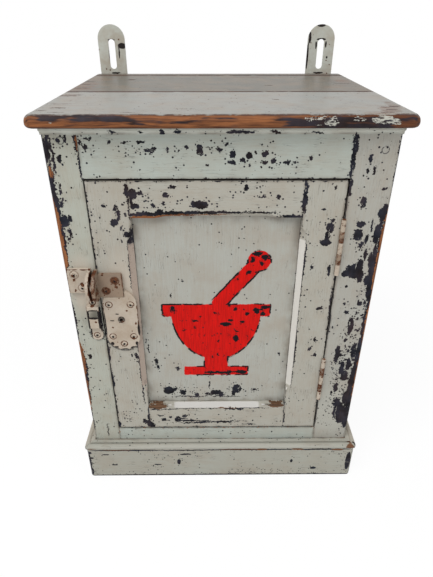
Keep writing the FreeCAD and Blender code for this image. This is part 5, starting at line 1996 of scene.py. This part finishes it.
@dataclass
class Studio:
    """Floor, light and camera. Lengths are in metres, angles in degrees."""

    camera_place: Triple = (-0.0104, -0.6966, 0.6667)
    camera_tilt: float = 59.52
    camera_turn: float = -0.43
    lens: float = 29.54
    sensor: float = 36.0
    floor_half: float = 6.0
    floor_grey: float = 0.95
    floor_rough: float = 0.9
    floor_glow: float = 0.92
    glow_from: float = 0.4
    glow_to: float = 1.1
    surround: float = 0.55
    aim: Triple = (0.0, 0.0, 0.3)
    lamps: dict[str, Lamp] = field(default_factory=lambda: {
        "key": Lamp((-0.9, -1.3, 2.7), 1.6, 58.0), "fill": Lamp((1.8, -1.6, 1.2), 1.6, 9.0)})

    def build(self) -> None:
        """Make everything that isn't the cabinet."""
        self.build_world()
        self.build_floor()
        self.build_lights()
        self.build_camera()
        bpy.context.scene.view_settings.view_transform = "Standard"
        LOG.info("built the studio")

    @staticmethod
    def seen_directly(g: Graph) -> Value:
        """1 for rays that show the background itself, 0 for rays that carry its light."""
        path = g.node("ShaderNodeLightPath").outputs
        return g.most(path["Is Camera Ray"], path["Is Glossy Ray"], path["Is Transmission Ray"])

    def build_world(self) -> None:
        """A plain white surround that lights the object softly."""
        world = bpy.data.worlds.new("studio")
        bpy.context.scene.world = world
        world.use_nodes = True
        g = Graph(world.node_tree)
        g.tree.nodes.clear()
        soft = g.node("ShaderNodeBackground", None, Color=WHITE, Strength=self.surround)
        white = g.node("ShaderNodeBackground", None, Color=WHITE, Strength=1.0)
        both = g.shaders(self.seen_directly(g), soft, white)
        g.node("ShaderNodeOutputWorld", None, Surface=both)

    def build_floor(self) -> None:
        """A pale floor that reads white and keeps a soft shadow."""
        half = self.floor_half
        mesh = bpy.data.meshes.new("floor")
        mesh.from_pydata([(-half, -half, 0), (half, -half, 0), (half, half, 0), (-half, half, 0)],
                         [], [(0, 1, 2, 3)])
        floor = placed("floor", mesh)
        material, g, shader = new_material("floor")
        g.put(shader.inputs["Base Color"], (self.floor_grey,) * 3)
        g.put(shader.inputs["Roughness"], self.floor_rough)
        glow = g.node("ShaderNodeEmission", None, Color=WHITE, Strength=1.0)
        place = g.node("ShaderNodeTexCoord").outputs["Object"]
        away = g.step(g.vector("LENGTH", place), self.glow_from, self.glow_to)
        fade = g.ramp(away, 1.0 - self.floor_glow, self.floor_glow)
        both = g.shaders(g.times(self.seen_directly(g), fade), shader, glow)
        g.put(g.tree.nodes["Material Output"].inputs["Surface"], both)
        mesh.materials.append(material)

    def build_lights(self) -> None:
        """A large soft key from the upper left and a weak fill from the right."""
        for name, lamp in self.lamps.items():
            light = bpy.data.lights.new(name, "AREA")
            light.size = lamp.size
            light.energy = lamp.power
            holder = placed(name, light)
            holder.location = lamp.place
            aim = Vector(self.aim) - Vector(lamp.place)
            holder.rotation_euler = aim.to_track_quat("-Z", "Y").to_euler()

    def build_camera(self) -> None:
        """The camera at the photograph's place."""
        lens = bpy.data.cameras.new("camera")
        lens.sensor_fit = "AUTO"
        lens.sensor_width = self.sensor
        lens.lens = self.lens
        camera = placed("camera", lens)
        camera.location = self.camera_place
        camera.rotation_euler = (math.radians(self.camera_tilt), 0.0, math.radians(self.camera_turn))
        bpy.context.scene.camera = camera


def main() -> None:
    """Build the classes in order."""
    logging.basicConfig(level=logging.INFO, format="%(name)s: %(message)s")
    effects = Effects()
    for part in (Case(), FaceFrame(), Top(), Plinth(), Door(), Hinges(), PadlockEars(), RimLatch(),
                 HangingPlates()):
        part.build(effects)
        part.dress(effects)
    Studio().build()


if __name__ == "__main__":
    main()
